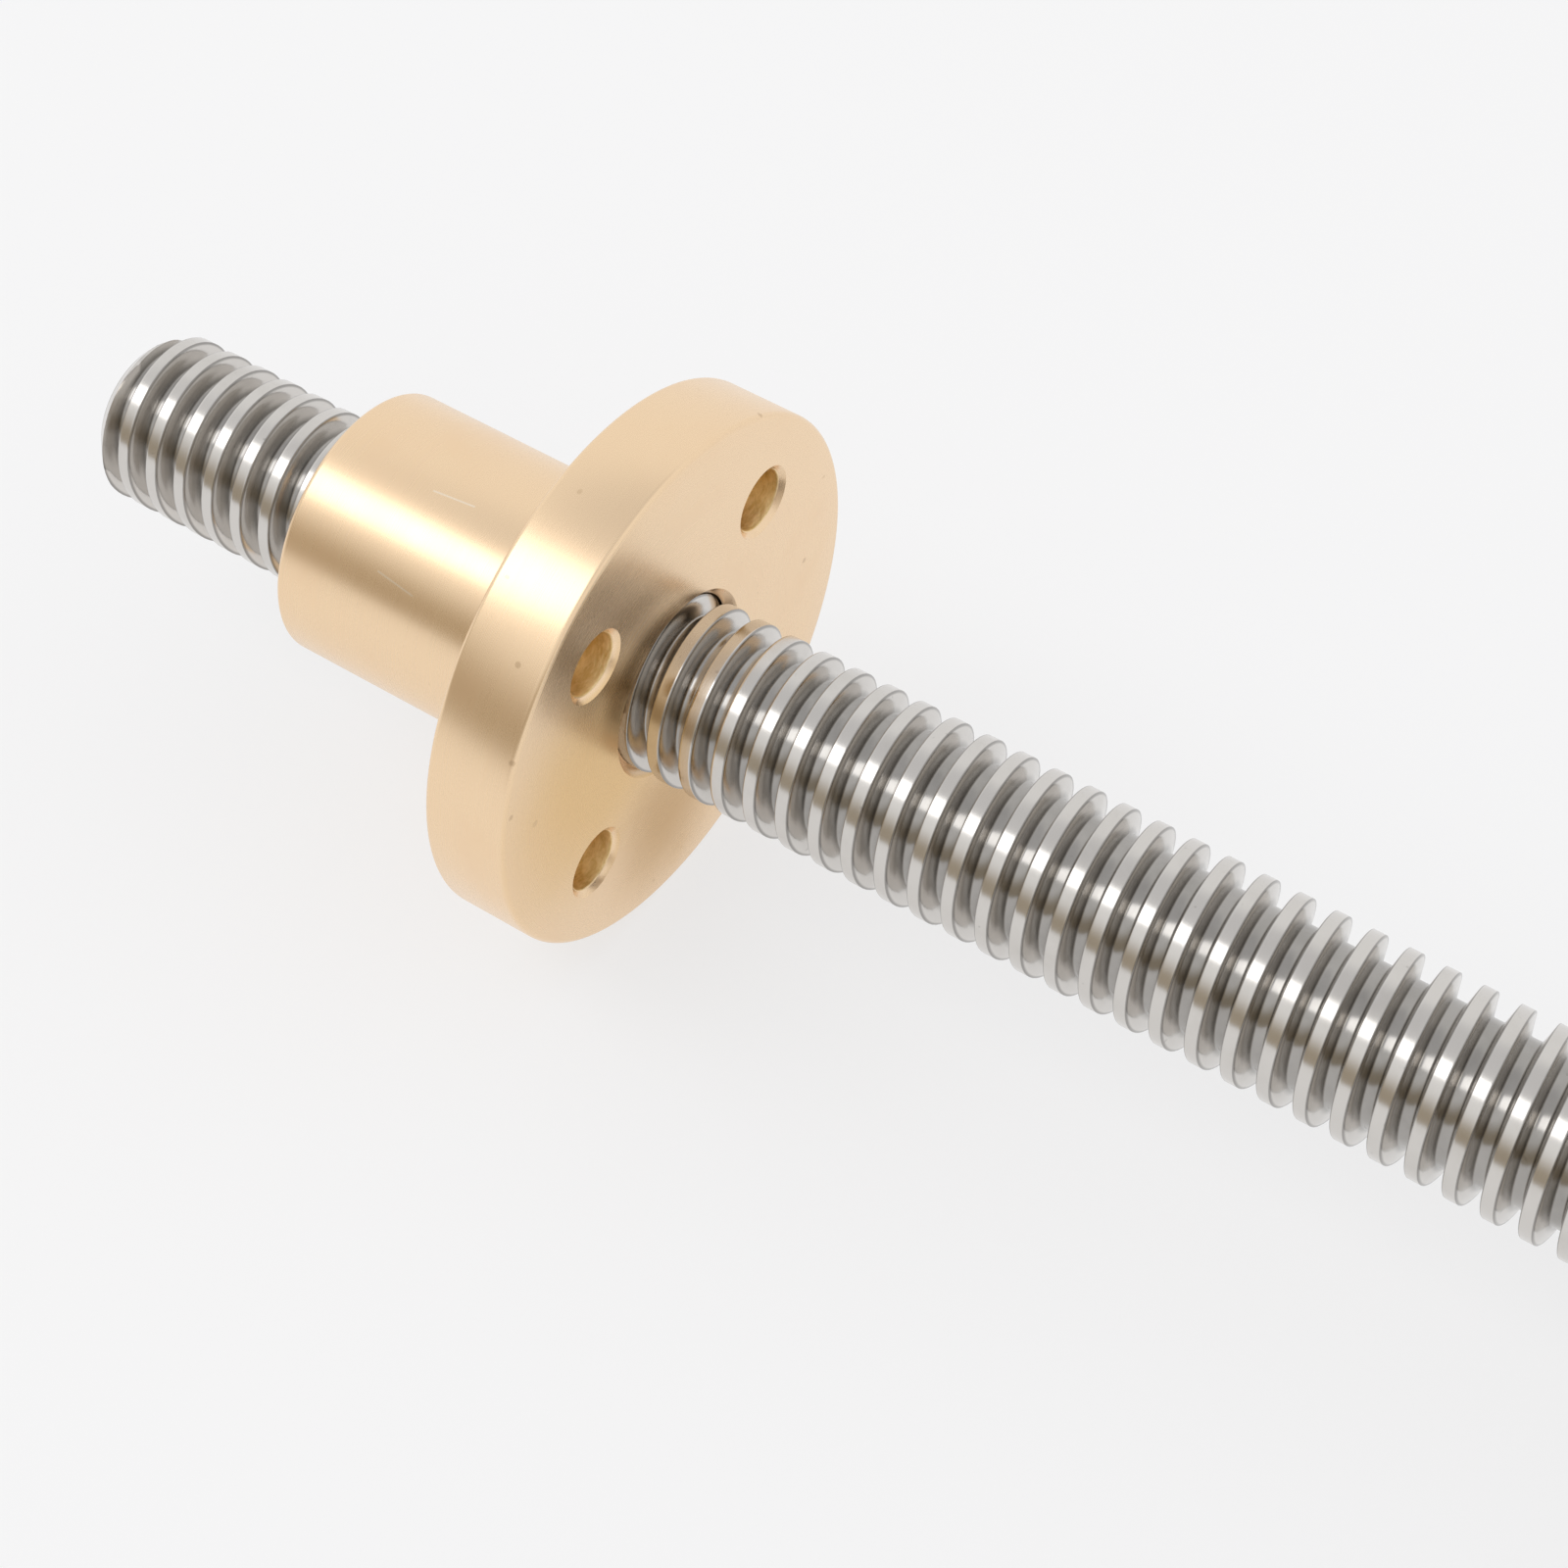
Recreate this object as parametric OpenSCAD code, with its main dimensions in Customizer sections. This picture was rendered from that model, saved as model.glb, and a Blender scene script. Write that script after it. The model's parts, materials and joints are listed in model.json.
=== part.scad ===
// Stepper motor with a lead screw for a shaft and a flanged nut on the screw.
// X runs along the screw from the motor to the tip. The origin is the middle of the
// motor's mounting face, and the motor lies on a side face of its body, so +Z is up.

/* [Motor body] */
// Side of the square body
body_side = 56.4; // [53:0.1:62]
// Length from the mounting face to the back of the motor
body_length = 76; // [70:1:110]
// Radius of the body's long edges
body_corner_r = 4.5; // [2:0.5:6]
// How far the laminations stand in from the end caps' sides
stack_inset = 0.3; // [0.1:0.1:0.8]
// Length of the front end cap
front_cap_length = 18; // [18:0.5:24]
// Length of the rear end cap
rear_cap_length = 14; // [14:0.5:20]
// Thickness of the mounting plate
plate_t = 4.8; // [3:0.1:6]
// From the body's sides to the middle of each mounting hole
bolt_inset = 4.63; // [4.3:0.01:5.2]
// Diameter of the mounting holes
bolt_hole_d = 5.1; // [4:0.1:5.6]
// Half width of the pocket behind each mounting hole
nut_pocket_r = 5; // [4.2:0.1:5.4]
// Length of the pocket behind each mounting hole
nut_pocket_length = 8.2; // [6:0.1:9]
// Diameter of the centring pilot
pilot_d = 38.1; // [30:0.1:42]
// Height of the centring pilot
pilot_h = 1.6; // [1:0.1:3]
// Diameter of the shaft's way through the pilot
shaft_way_d = 13; // [12.4:0.1:18]
// Wall between the winding spaces and the end caps' sides
end_wall = 3; // [2.5:0.1:3]
// Depth of the rear winding space
rear_space_depth = 7; // [6.6:0.1:8]
// Wall between the pilot's face and the front bearing
front_wall = 3.6; // [2.5:0.1:5]
// Wall round the rear bearing's seat
seat_wall = 2; // [1.2:0.1:2.4]

/* [Stator] */
// Thickness of the yoke, outside the feet of the poles
yoke_t = 4.6; // [4.4:0.1:4.7]
// Width of a pole
pole_w = 5; // [4:0.1:5.6]
// Thickness of a pole's shoe, behind its teeth
shoe_t = 1.5; // [1:0.1:1.6]
// Height of the teeth on the poles and the rotor
tooth_h = 0.7; // [0.4:0.1:0.8]
// Air gap between the rotor and the poles
air_gap = 0.1; // [0.06:0.01:0.2]
// Thickness of the insulators' end plates
insulator_t = 1.5; // [1:0.1:1.8]
// Thickness of the insulators' outer wall
insulator_wall = 1.4; // [0.8:0.1:1.5]
// Thickness of a coil beside and above its pole
coil_t = 2.6; // [1.5:0.1:2.8]
// Insulation between a coil and its pole
coil_gap = 0.25; // [0.1:0.05:0.4]
// Room between a pole's shoe and its coil
shoe_gap = 0.4; // [0.2:0.1:0.8]
// Room between the coils and the yoke
coil_room = 0.4; // [0.3:0.1:1]
// Room between the windings and the end caps' floors
winding_room = 1; // [0.5:0.1:1.5]

/* [Rotor] */
// Diameter of the rotor over its teeth
rotor_d = 29.9; // [29:0.1:30]
// Length of each rotor cup
rotor_cup_length = 19; // [15:0.5:19]
// Thickness of the ring magnet
magnet_t = 2; // [1:0.1:2.5]
// Diameter of the ring magnet
magnet_d = 25; // [20:0.5:27]
// Outer diameter of the spacers beside the rotor
spacer_d = 13; // [12.5:0.1:13.4]

/* [Bearings] */
// Bore of the front bearing
front_bearing_bore = 10; // [10:0.1:10.2]
// Outer diameter of the front bearing
front_bearing_od = 26; // [26:0.1:26.4]
// Width of the front bearing
front_bearing_w = 8; // [7.6:0.1:8.4]
// Ball diameter of the front bearing
front_ball_d = 4.762; // [4.4:0.001:4.8]
// Bore of the rear bearing
rear_bearing_bore = 8; // [7.8:0.1:8.2]
// Outer diameter of the rear bearing
rear_bearing_od = 22; // [21.8:0.1:22.4]
// Width of the rear bearing
rear_bearing_w = 7; // [6.8:0.1:7.2]
// Ball diameter of the rear bearing
rear_ball_d = 3.969; // [3.6:0.001:4]
// Clearance all round each ball
ball_clearance = 0.02; // [0.01:0.005:0.04]
// Thickness of the bearing shields
shield_t = 0.3; // [0.2:0.05:0.4]
// Thickness of the spring washer behind the rear bearing
spring_washer_t = 0.5; // [0.3:0.05:0.8]

/* [Connector and screws] */
// Thickness of the terminal board
board_t = 1.2; // [0.8:0.1:1.4]
// Number of connector pins
pin_count = 6; // [4:1:6]
// Distance between connector pins
pin_pitch = 2.5; // [2:0.1:2.6]
// Side of a square connector pin
pin_side = 0.64; // [0.5:0.01:0.8]
// How far the pins lie on the terminal board
pin_tail = 3; // [2:0.5:5]
// How far the pins' tips stand below the socket's rim
pin_set_back = 1.5; // [0.5:0.1:2]
// From the winding space's wall to the terminal board's top edge
board_margin = 3; // [2.5:0.1:4]
// From an end pin to the socket's inner wall
socket_end_room = 1.3; // [0.8:0.1:1.6]
// Thickness of the socket's floor
socket_floor_t = 3; // [1.5:0.1:3.4]
// Inner width of the connector's socket, along the screw
socket_w = 4.6; // [4:0.1:4.8]
// Wall thickness of the connector's socket
socket_wall = 1; // [0.8:0.1:1.2]
// Height of the connector above the body
socket_reach = 4.8; // [2:0.1:10]
// Room all round the connector in the rear end cap
socket_clearance = 0.1; // [0.05:0.05:0.3]
// Shank diameter of the through screws
through_screw_d = 3.5; // [3:0.1:3.8]
// Head diameter of the through screws
screw_head_d = 6.4; // [6:0.1:6.8]
// Head height of the through screws
screw_head_h = 2.6; // [2:0.1:3]
// Depth of the recess for each through screw's head
head_recess_depth = 4; // [3.2:0.1:5]

/* [Lead screw] */
// Outer diameter of the thread
screw_d = 12.7; // [12.2:0.1:13.2]
// Distance between neighbouring crests
thread_pitch = 2.54; // [2:0.02:3.5]
// Number of thread starts
thread_starts = 1; // [1:1:3]
// Depth of the thread
thread_depth = 1.52; // [1:0.02:1.6]
// Place of a crest, measured along the screw
thread_phase = 1.3; // [0:0.1:2.5]
// Flat sides in one turn of the thread
thread_sides = 16; // [12:4:20]
// Where the thread starts, in front of the mounting face
thread_start = 5; // [3:0.5:8]
// Height of the shoulder that rests on the front bearing
shoulder_h = 0.7; // [0.6:0.1:1.2]
// Chamfer at the screw's motor end
journal_chamfer = 0.5; // [0.2:0.1:1]
// Where the screw ends, in front of the mounting face
screw_reach = 169.7; // [150:0.1:300]
// Chamfer at the screw's tip
tip_chamfer = 1.3; // [0.5:0.1:1.5]

/* [Nut] */
// Where the nut's flange face stands, in front of the mounting face
nut_x = 123; // [40:1:130]
// Turn of the nut's holes about the screw
nut_turn = 4; // [-45:1:45]
// Diameter of the nut's flange
flange_d = 39.3; // [36:0.1:50]
// Thickness of the nut's flange
flange_t = 6.3; // [4:0.1:12]
// Diameter of the nut's body
nut_body_d = 19.6; // [17:0.1:20.4]
// Length of the nut's body beyond the flange
nut_body_length = 20.5; // [15:0.5:30]
// Diameter of the circle through the flange holes
hole_circle_d = 26.8; // [26:0.1:30]
// Number of flange holes
hole_count = 4; // [3:1:6]
// Diameter of the flange holes
flange_hole_d = 4.5; // [3:0.1:5]
// Countersink of the flange holes
hole_countersink = 0.45; // [0.2:0.05:0.8]
// Rounding of the nut's outer edges
nut_edge_r = 0.4; // [0.2:0.1:1]
// Room between the flanks and crests of the screw's and the nut's threads
thread_clearance = 0.18; // [0.16:0.01:0.3]
// Room between the screw's roots and the nut's crests
root_clearance = 0.3; // [0.2:0.05:0.5]
// Chamfer at both ends of the nut's bore
bore_chamfer = 1.9; // [1:0.1:2.2]

/* [Hidden] */
$fn = 64;

POLE_COUNT = 8;        // a two-phase motor's poles
TEETH_PER_POLE = 5;
ROTOR_TEETH = 50;      // 1.8 degrees a step
BALL_COUNT = 7;
FLANK_ANGLE = 14.5;    // half the angle between a thread's two flanks
THROUGH = 1;           // how far a cut runs past the face it opens
FIT = 0.01;            // radial room where one piece is pressed on another
LOOSE = 0.2;           // radial room round screws and loose pieces

STEEL = [0.72, 0.72, 0.71];
DARK_STEEL = [0.36, 0.36, 0.37];
ALUMINIUM = [0.80, 0.81, 0.82];
BRASS = [0.85, 0.70, 0.46];
COPPER = [0.72, 0.40, 0.22];
PLASTIC = [0.93, 0.92, 0.88];
BLACK = [0.10, 0.10, 0.11];

bolt_spacing = body_side - 2 * bolt_inset;
winding_space_d = body_side - 2 * end_wall;
yoke_d = body_side - 2 * stack_inset - 2 * yoke_t;

// Places along the screw, from the front of the motor back to its end.
stack_front = -front_cap_length;
stack_rear = rear_cap_length - body_length;
stack_length = stack_front - stack_rear;
front_bearing_x = pilot_h - front_wall - front_bearing_w / 2;
rear_bearing_x = stack_rear - rear_space_depth / 2 - rear_bearing_w / 2;
rotor_length = 2 * rotor_cup_length + magnet_t;
rotor_front = (stack_front + stack_rear + rotor_length) / 2;
rotor_rear = rotor_front - rotor_length;
journal_rear = rear_bearing_x - rear_bearing_w / 2 - journal_chamfer;

bolt_offset = bolt_spacing / 2;
stator_bore_r = rotor_d / 2 + air_gap;
tooth_angle = 360 / ROTOR_TEETH;
shoe_r = stator_bore_r + tooth_h + shoe_t;
coil_inner_r = shoe_r + shoe_gap;
coil_half_w = pole_w / 2 + coil_gap + coil_t;
coil_h = sqrt(pow(yoke_d / 2 - coil_room, 2) - pow(coil_half_w, 2)) - coil_inner_r;
coil_overhang = insulator_t + coil_t;
wall_height = coil_overhang + LOOSE;
winding_depth = coil_overhang + winding_room;

board_front = stack_rear - wall_height;
board_rear = board_front - board_t;
pin_x = board_rear - pin_side / 2;
board_top = winding_space_d / 2 - board_margin;
socket_length = (pin_count - 1) * pin_pitch + 2 * socket_end_room;
socket_floor_z = winding_space_d / 2 + socket_clearance;

lead = thread_starts * thread_pitch;
screw_r = screw_d / 2;
root_r = screw_r - thread_depth;
mean_r = screw_r - thread_pitch / 4;
nut_bore_r = root_r + root_clearance;

// Puts a shape drawn in Y and Z, and drawn out along +Z, at a place along the screw.
module at_x(x) {
    translate([x, 0, 0]) rotate([90, 0, 90]) children();
}

// A ring about the screw's axis, from x0 to x1.
module ring(x0, x1, outer_r, inner_r) {
    at_x(x0) difference() {
        cylinder(h = x1 - x0, r = outer_r);
        translate([0, 0, -THROUGH]) cylinder(h = x1 - x0 + 2 * THROUGH, r = inner_r);
    }
}

module rounded_square(side, r) {
    square([side, side - 2 * r], center = true);
    square([side - 2 * r, side], center = true);
    for (sy = [-1, 1], sz = [-1, 1])
        translate([sy * (side / 2 - r), sz * (side / 2 - r)]) circle(r);
}

// Children once at each of the four bolt places, turned so that +X+Y points outward.
module at_bolts() {
    for (quarter = [0 : 3])
        rotate(90 * quarter) translate([bolt_offset, bolt_offset]) children();
}

// ---- Motor body ----

module nut_pocket() {
    circle(nut_pocket_r);
    translate([-nut_pocket_r, 0]) square([2 * nut_pocket_r, body_side / 2]);
    translate([0, -nut_pocket_r]) square([body_side / 2, 2 * nut_pocket_r]);
}

module front_cap() color(ALUMINIUM) {
    seat_rear = stack_front + winding_depth;
    pocket_rear = -plate_t - nut_pocket_length;
    difference() {
        union() {
            at_x(pocket_rear) linear_extrude(nut_pocket_length) difference() {
                rounded_square(body_side, body_corner_r);
                at_bolts() nut_pocket();
            }
            at_x(-plate_t) linear_extrude(plate_t)
                rounded_square(body_side, body_corner_r);
            at_x(stack_front) linear_extrude(pocket_rear - stack_front)
                rounded_square(body_side, body_corner_r);
            at_x(0) cylinder(h = pilot_h, d = pilot_d);
        }
        at_x(stack_front - THROUGH)
            cylinder(h = winding_depth + THROUGH, d = winding_space_d);
        at_x(seat_rear - THROUGH)
            cylinder(h = pilot_h - front_wall - seat_rear + THROUGH,
                     r = front_bearing_od / 2 + FIT);
        at_x(seat_rear) cylinder(h = pilot_h - seat_rear + THROUGH, d = shaft_way_d);
        at_x(-plate_t - THROUGH) at_bolts()
            cylinder(h = plate_t + 2 * THROUGH, d = bolt_hole_d);
        at_x(stack_front - THROUGH) at_bolts()
            cylinder(h = pocket_rear - stack_front + 2 * THROUGH,
                     r = through_screw_d / 2 + FIT);
    }
}

module rear_cap() color(ALUMINIUM) {
    seat_floor = rear_bearing_x - rear_bearing_w / 2 - spring_washer_t;
    space_floor = stack_rear - rear_space_depth;
    boss_front = rear_bearing_x + rear_bearing_w / 2;
    difference() {
        union() {
            difference() {
                at_x(-body_length) linear_extrude(rear_cap_length)
                    rounded_square(body_side, body_corner_r);
                at_x(space_floor)
                    cylinder(h = rear_space_depth + THROUGH, d = winding_space_d);
            }
            at_x(space_floor - THROUGH)
                cylinder(h = boss_front - space_floor + THROUGH,
                         r = rear_bearing_od / 2 + seat_wall);
        }
        at_x(seat_floor) cylinder(h = boss_front - seat_floor + THROUGH,
                                  r = rear_bearing_od / 2 + FIT);
        at_x(-body_length - THROUGH) at_bolts() {
            cylinder(h = rear_cap_length + 2 * THROUGH,
                     r = through_screw_d / 2 + LOOSE);
            cylinder(h = head_recess_depth + THROUGH, d = screw_head_d + 2 * LOOSE);
        }
        connector_block(board_top, body_side, socket_clearance);
    }
}

module through_screws() color(DARK_STEEL) {
    head_rear = -body_length + head_recess_depth - screw_head_h;
    tip = -plate_t - nut_pocket_length;
    at_x(head_rear) at_bolts() difference() {
        union() {
            cylinder(h = screw_head_h, d = screw_head_d);
            cylinder(h = tip - LOOSE - head_rear, d = through_screw_d);
        }
        for (turn = [0, 90])
            rotate(turn)
                cube([0.6 * screw_head_d, 0.14 * screw_head_d, screw_head_h], center = true);
    }
}

// ---- Stator and windings ----

function polar(r, angle) = [r * sin(angle), r * cos(angle)];

// A pole along +Y: its body, its shoe and the teeth on the shoe.
module pole() {
    tooth_r = stator_bore_r + tooth_h;
    last = (TEETH_PER_POLE - 1) / 2;
    shoe_half = last * tooth_angle + tooth_angle / 3;
    teeth = [for (i = [-last : last]) each [
        polar(tooth_r, (i - 0.25) * tooth_angle),
        polar(stator_bore_r, (i - 0.25) * tooth_angle),
        polar(stator_bore_r, (i + 0.25) * tooth_angle),
        polar(tooth_r, (i + 0.25) * tooth_angle)]];
    polygon(concat(
        [polar(shoe_r, -shoe_half), polar(tooth_r, -shoe_half)], teeth,
        [polar(tooth_r, shoe_half), polar(shoe_r, shoe_half),
         [pole_w / 2, shoe_r], [pole_w / 2, (yoke_d + yoke_t) / 2],
         [-pole_w / 2, (yoke_d + yoke_t) / 2], [-pole_w / 2, shoe_r]]));
}

module at_poles(first = 0, step = 1) {
    for (k = [first : step : POLE_COUNT - 1])
        rotate(k * 360 / POLE_COUNT) children();
}

module stator_stack() color(DARK_STEEL)
    at_x(stack_rear) linear_extrude(stack_length) {
        difference() {
            rounded_square(body_side - 2 * stack_inset, body_corner_r - stack_inset);
            circle(d = yoke_d);
            at_bolts() circle(through_screw_d / 2 + LOOSE);
        }
        at_poles() pole();
    }

// An end plate over the poles, with the wall that holds the coils in. It grows along +X.
module insulator() {
    inner_r = (winding_space_d - LOOSE) / 2 - insulator_wall;
    linear_extrude(insulator_t) {
        difference() {
            circle(inner_r + insulator_wall);
            circle(inner_r - coil_room);
        }
        at_poles() translate([-pole_w / 2, stator_bore_r + tooth_h])
            square([pole_w, inner_r - stator_bore_r - tooth_h]);
    }
    linear_extrude(wall_height) difference() {
        circle(inner_r + insulator_wall);
        circle(inner_r);
    }
}

module front_insulator() color(PLASTIC) at_x(stack_front) insulator();

module rear_insulator() color(PLASTIC)
    translate([stack_rear, 0, 0]) mirror([1, 0, 0]) at_x(0) insulator();

// One coil wound round the pole that points along +Y, when seen along the screw.
module coil() {
    half_w = coil_half_w - coil_t;
    translate([0, coil_inner_r, 0]) difference() {
        translate([-coil_half_w, 0, -coil_overhang])
            cube([2 * coil_half_w, coil_h, stack_length + 2 * coil_overhang]);
        translate([-half_w, -THROUGH, -insulator_t])
            cube([2 * half_w, coil_h + 2 * THROUGH, stack_length + 2 * insulator_t]);
    }
}

module phase_a_coils() color(COPPER) at_x(stack_rear) at_poles(0, 2) coil();

module phase_b_coils() color(COPPER) at_x(stack_rear) at_poles(1, 2) coil();

// ---- Rotor ----

// A toothed rotor cup, turned by a share of a tooth.
module rotor_cup(x, share) {
    tip_r = rotor_d / 2;
    profile = [for (i = [0 : ROTOR_TEETH - 1]) each [
        polar(tip_r - tooth_h, (i + share - 0.3) * tooth_angle),
        polar(tip_r, (i + share - 0.25) * tooth_angle),
        polar(tip_r, (i + share + 0.25) * tooth_angle),
        polar(tip_r - tooth_h, (i + share + 0.3) * tooth_angle)]];
    at_x(x) linear_extrude(rotor_cup_length) difference() {
        polygon(profile);
        circle(front_bearing_bore / 2 + FIT);
    }
}

module rotor_cup_front() color(DARK_STEEL)
    rotor_cup(rotor_front - rotor_cup_length, 0);

module rotor_cup_rear() color(DARK_STEEL) rotor_cup(rotor_rear, 0.5);

module rotor_magnet() color(BLACK)
    ring(rotor_rear + rotor_cup_length, rotor_front - rotor_cup_length,
         magnet_d / 2, front_bearing_bore / 2 + FIT);

module front_spacer() color(STEEL)
    ring(rotor_front, front_bearing_x - front_bearing_w / 2,
         spacer_d / 2, front_bearing_bore / 2 + FIT);

module rear_spacer() color(STEEL)
    ring(rear_bearing_x + rear_bearing_w / 2, rotor_rear,
         spacer_d / 2, front_bearing_bore / 2 + FIT);

// ---- Bearings ----
// A bearing is given as [place of its middle, bore, outer diameter, width, ball diameter].

FRONT = [front_bearing_x, front_bearing_bore, front_bearing_od, front_bearing_w,
         front_ball_d];
REAR = [rear_bearing_x, rear_bearing_bore, rear_bearing_od, rear_bearing_w,
        rear_ball_d];

function ball_circle_r(b) = (b[1] + b[2]) / 4;
function shoulder_gap(b) = 0.45 * b[4];

// One race with its groove, between two radii.
module race(b, inner_r, outer_r)
    at_x(b[0]) rotate_extrude() difference() {
        translate([inner_r, -b[3] / 2]) square([outer_r - inner_r, b[3]]);
        translate([ball_circle_r(b), 0]) circle(b[4] / 2 + ball_clearance);
    }

module bearing_inner(b) race(b, b[1] / 2 + FIT, ball_circle_r(b) - shoulder_gap(b) / 1.5);

module bearing_outer(b) race(b, ball_circle_r(b) + shoulder_gap(b) / 1.5, b[2] / 2);

module bearing_shields(b)
    for (x = [-b[3] / 2 + LOOSE, b[3] / 2 - LOOSE - shield_t])
        ring(b[0] + x, b[0] + x + shield_t, ball_circle_r(b) + shoulder_gap(b) / 1.5 - FIT,
             ball_circle_r(b) - shoulder_gap(b) / 1.5 + LOOSE);

module at_balls(b)
    for (k = [0 : BALL_COUNT - 1])
        rotate([k * 360 / BALL_COUNT, 0, 0])
            translate([b[0], 0, ball_circle_r(b)]) children();

module bearing_balls(b) at_balls(b) sphere(d = b[4]);

// The cage is a crown: a ring beside the balls, with a pocket cut for each ball.
module bearing_cage(b) {
    half_t = 0.12 * b[4];
    back = 0.63 * b[4];
    difference() {
        ring(b[0] - back, b[0] + 0.2 * b[4], ball_circle_r(b) + half_t,
             ball_circle_r(b) - half_t);
        at_balls(b) sphere(r = b[4] / 2 + 2 * ball_clearance);
    }
}

module front_bearing_outer() color(STEEL) bearing_outer(FRONT);
module front_bearing_shields() color(STEEL) bearing_shields(FRONT);
module front_bearing_inner() color(STEEL) bearing_inner(FRONT);
module front_bearing_balls() color(STEEL) bearing_balls(FRONT);
module front_bearing_cage() color(BRASS) bearing_cage(FRONT);
module rear_bearing_outer() color(STEEL) bearing_outer(REAR);
module rear_bearing_shields() color(STEEL) bearing_shields(REAR);
module rear_bearing_inner() color(STEEL) bearing_inner(REAR);
module rear_bearing_balls() color(STEEL) bearing_balls(REAR);
module rear_bearing_cage() color(BRASS) bearing_cage(REAR);

// A coned spring washer, squeezed between the rear bearing and the end cap.
module spring_washer() color(STEEL) {
    outer_r = rear_bearing_od / 2 - LOOSE;
    inner_r = ball_circle_r(REAR) + shoulder_gap(REAR);
    sheet = spring_washer_t / 2;
    at_x(rear_bearing_x - rear_bearing_w / 2 - spring_washer_t) rotate_extrude()
        polygon([[outer_r, sheet], [outer_r, 2 * sheet], [inner_r, sheet], [inner_r, 0]]);
}

// ---- Terminal board and connector ----

module terminal_board() color([0.10, 0.35, 0.20]) at_x(board_rear)
    linear_extrude(board_t) difference() {
        intersection() {
            circle(winding_space_d / 2 - LOOSE);
            translate([-body_side / 2, -body_side / 2])
                square([body_side, body_side / 2 + board_top]);
        }
        circle(rear_bearing_od / 2 + seat_wall + LOOSE);
    }

// The connector's outer block from z0 to z1, grown sideways by a margin.
module connector_block(z0, z1, margin) {
    half_x = socket_w / 2 + socket_wall + margin;
    half_y = socket_length / 2 + socket_wall + margin;
    translate([pin_x - half_x, -half_y, z0]) cube([2 * half_x, 2 * half_y, z1 - z0]);
}

// Children once at each pin, on the row that runs along Y.
module at_pins()
    for (i = [0 : pin_count - 1])
        translate([pin_x, (i - (pin_count - 1) / 2) * pin_pitch, 0]) children();

module connector_housing() color(PLASTIC) difference() {
    top = body_side / 2 + socket_reach;
    connector_block(socket_floor_z, top, 0);
    translate([pin_x - socket_w / 2, -socket_length / 2, socket_floor_z + socket_floor_t])
        cube([socket_w, socket_length, top - socket_floor_z]);
    at_pins() translate([-pin_side / 2 - FIT, -pin_side / 2 - FIT, socket_floor_z - THROUGH])
        cube([pin_side + 2 * FIT, pin_side + 2 * FIT, socket_floor_t + 2 * THROUGH]);
}

module connector_pins() color(BRASS) at_pins()
    translate([-pin_side / 2, -pin_side / 2, board_top - pin_tail])
        cube([pin_side, pin_side,
              body_side / 2 + socket_reach - pin_set_back - board_top + pin_tail]);

// ---- Lead screw ----

// The plain end of the screw's bar, turned down for the rotor and the bearings.
module screw_journal() color(STEEL) {
    front_r = front_bearing_bore / 2;
    rear_r = rear_bearing_bore / 2;
    step_x = rear_bearing_x + rear_bearing_w / 2;
    shoulder_x = pilot_h - front_wall;
    at_x(0) rotate_extrude() polygon([
        [0, journal_rear], [rear_r - journal_chamfer, journal_rear],
        [rear_r, journal_rear + journal_chamfer],
        [rear_r, step_x], [front_r, step_x], [front_r, shoulder_x],
        [front_r + shoulder_h, shoulder_x], [front_r + shoulder_h, thread_start],
        [0, thread_start]]);
}

// A thread as one closed surface: columns of points round the screw, each a row of
// crests and roots that climbs by the lead in one turn. grow widens every flank and
// crest. The first and last turns have no crests, so that the ends close cleanly.
module thread(x0, x1, grow) {
    first = floor((x0 - thread_phase) / thread_pitch) - 2 * thread_starts - 1;
    turns = ceil((x1 - x0) / thread_pitch) + 4 * thread_starts + 2;
    crest_r = screw_r + grow;
    floor_r = root_r + grow;
    half_mean = thread_pitch / 4 + grow;
    half_crest = half_mean - (crest_r - mean_r) * tan(FLANK_ANGLE);
    half_foot = half_mean + (mean_r - floor_r) * tan(FLANK_ANGLE);
    places = [-half_foot, -half_crest, half_crest, half_foot];
    rows = 4 * turns;
    points = [for (side = [0 : thread_sides - 1], row = [0 : rows - 1])
        let (k = floor(row / 4),
             part = row % 4,
             angle = 360 * side / thread_sides,
             crested = (part == 1 || part == 2)
                       && k >= thread_starts && k < turns - thread_starts,
             r = crested ? crest_r : floor_r,
             x = thread_phase + (first + k) * thread_pitch + places[part]
                 + lead * angle / 360)
        [x, r * cos(angle), r * sin(angle)]];
    low = thread_sides * rows;
    ends = [[points[0][0], 0, 0], [points[low - 1][0], 0, 0]];
    climb = 4 * thread_starts;
    walls = [for (side = [0 : thread_sides - 1], row = [0 : rows - 2])
        let (a = side * rows + row,
             closing = side == thread_sides - 1,
             b = closing ? row + climb : a + rows)
        if (!closing || row + climb < rows - 1) each [[a, a + 1, b + 1], [a, b + 1, b]]];
    start_loop = concat([for (row = [climb : -1 : 0]) row],
                        [for (side = [1 : thread_sides - 1]) side * rows]);
    end_loop = concat([for (side = [0 : thread_sides - 1]) side * rows + rows - 1],
                      [for (row = [rows - 2 : -1 : rows - 1 - climb])
                          (thread_sides - 1) * rows + row]);
    start_fan = [for (i = [0 : len(start_loop) - 1])
        [low, start_loop[i], start_loop[(i + 1) % len(start_loop)]]];
    end_fan = [for (i = [0 : len(end_loop) - 1])
        [low + 1, end_loop[(i + 1) % len(end_loop)], end_loop[i]]];
    polyhedron(concat(points, ends), concat(walls, start_fan, end_fan));
}

module lead_screw() color(STEEL) intersection() {
    thread(thread_start, screw_reach, 0);
    at_x(0) rotate_extrude() polygon([
        [0, thread_start], [root_r - LOOSE, thread_start], [screw_r + THROUGH,
         thread_start + THROUGH + thread_depth], [screw_r + THROUGH, screw_reach
         - tip_chamfer - THROUGH], [screw_r - tip_chamfer, screw_reach], [0, screw_reach]]);
}

// ---- Nut ----

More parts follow.
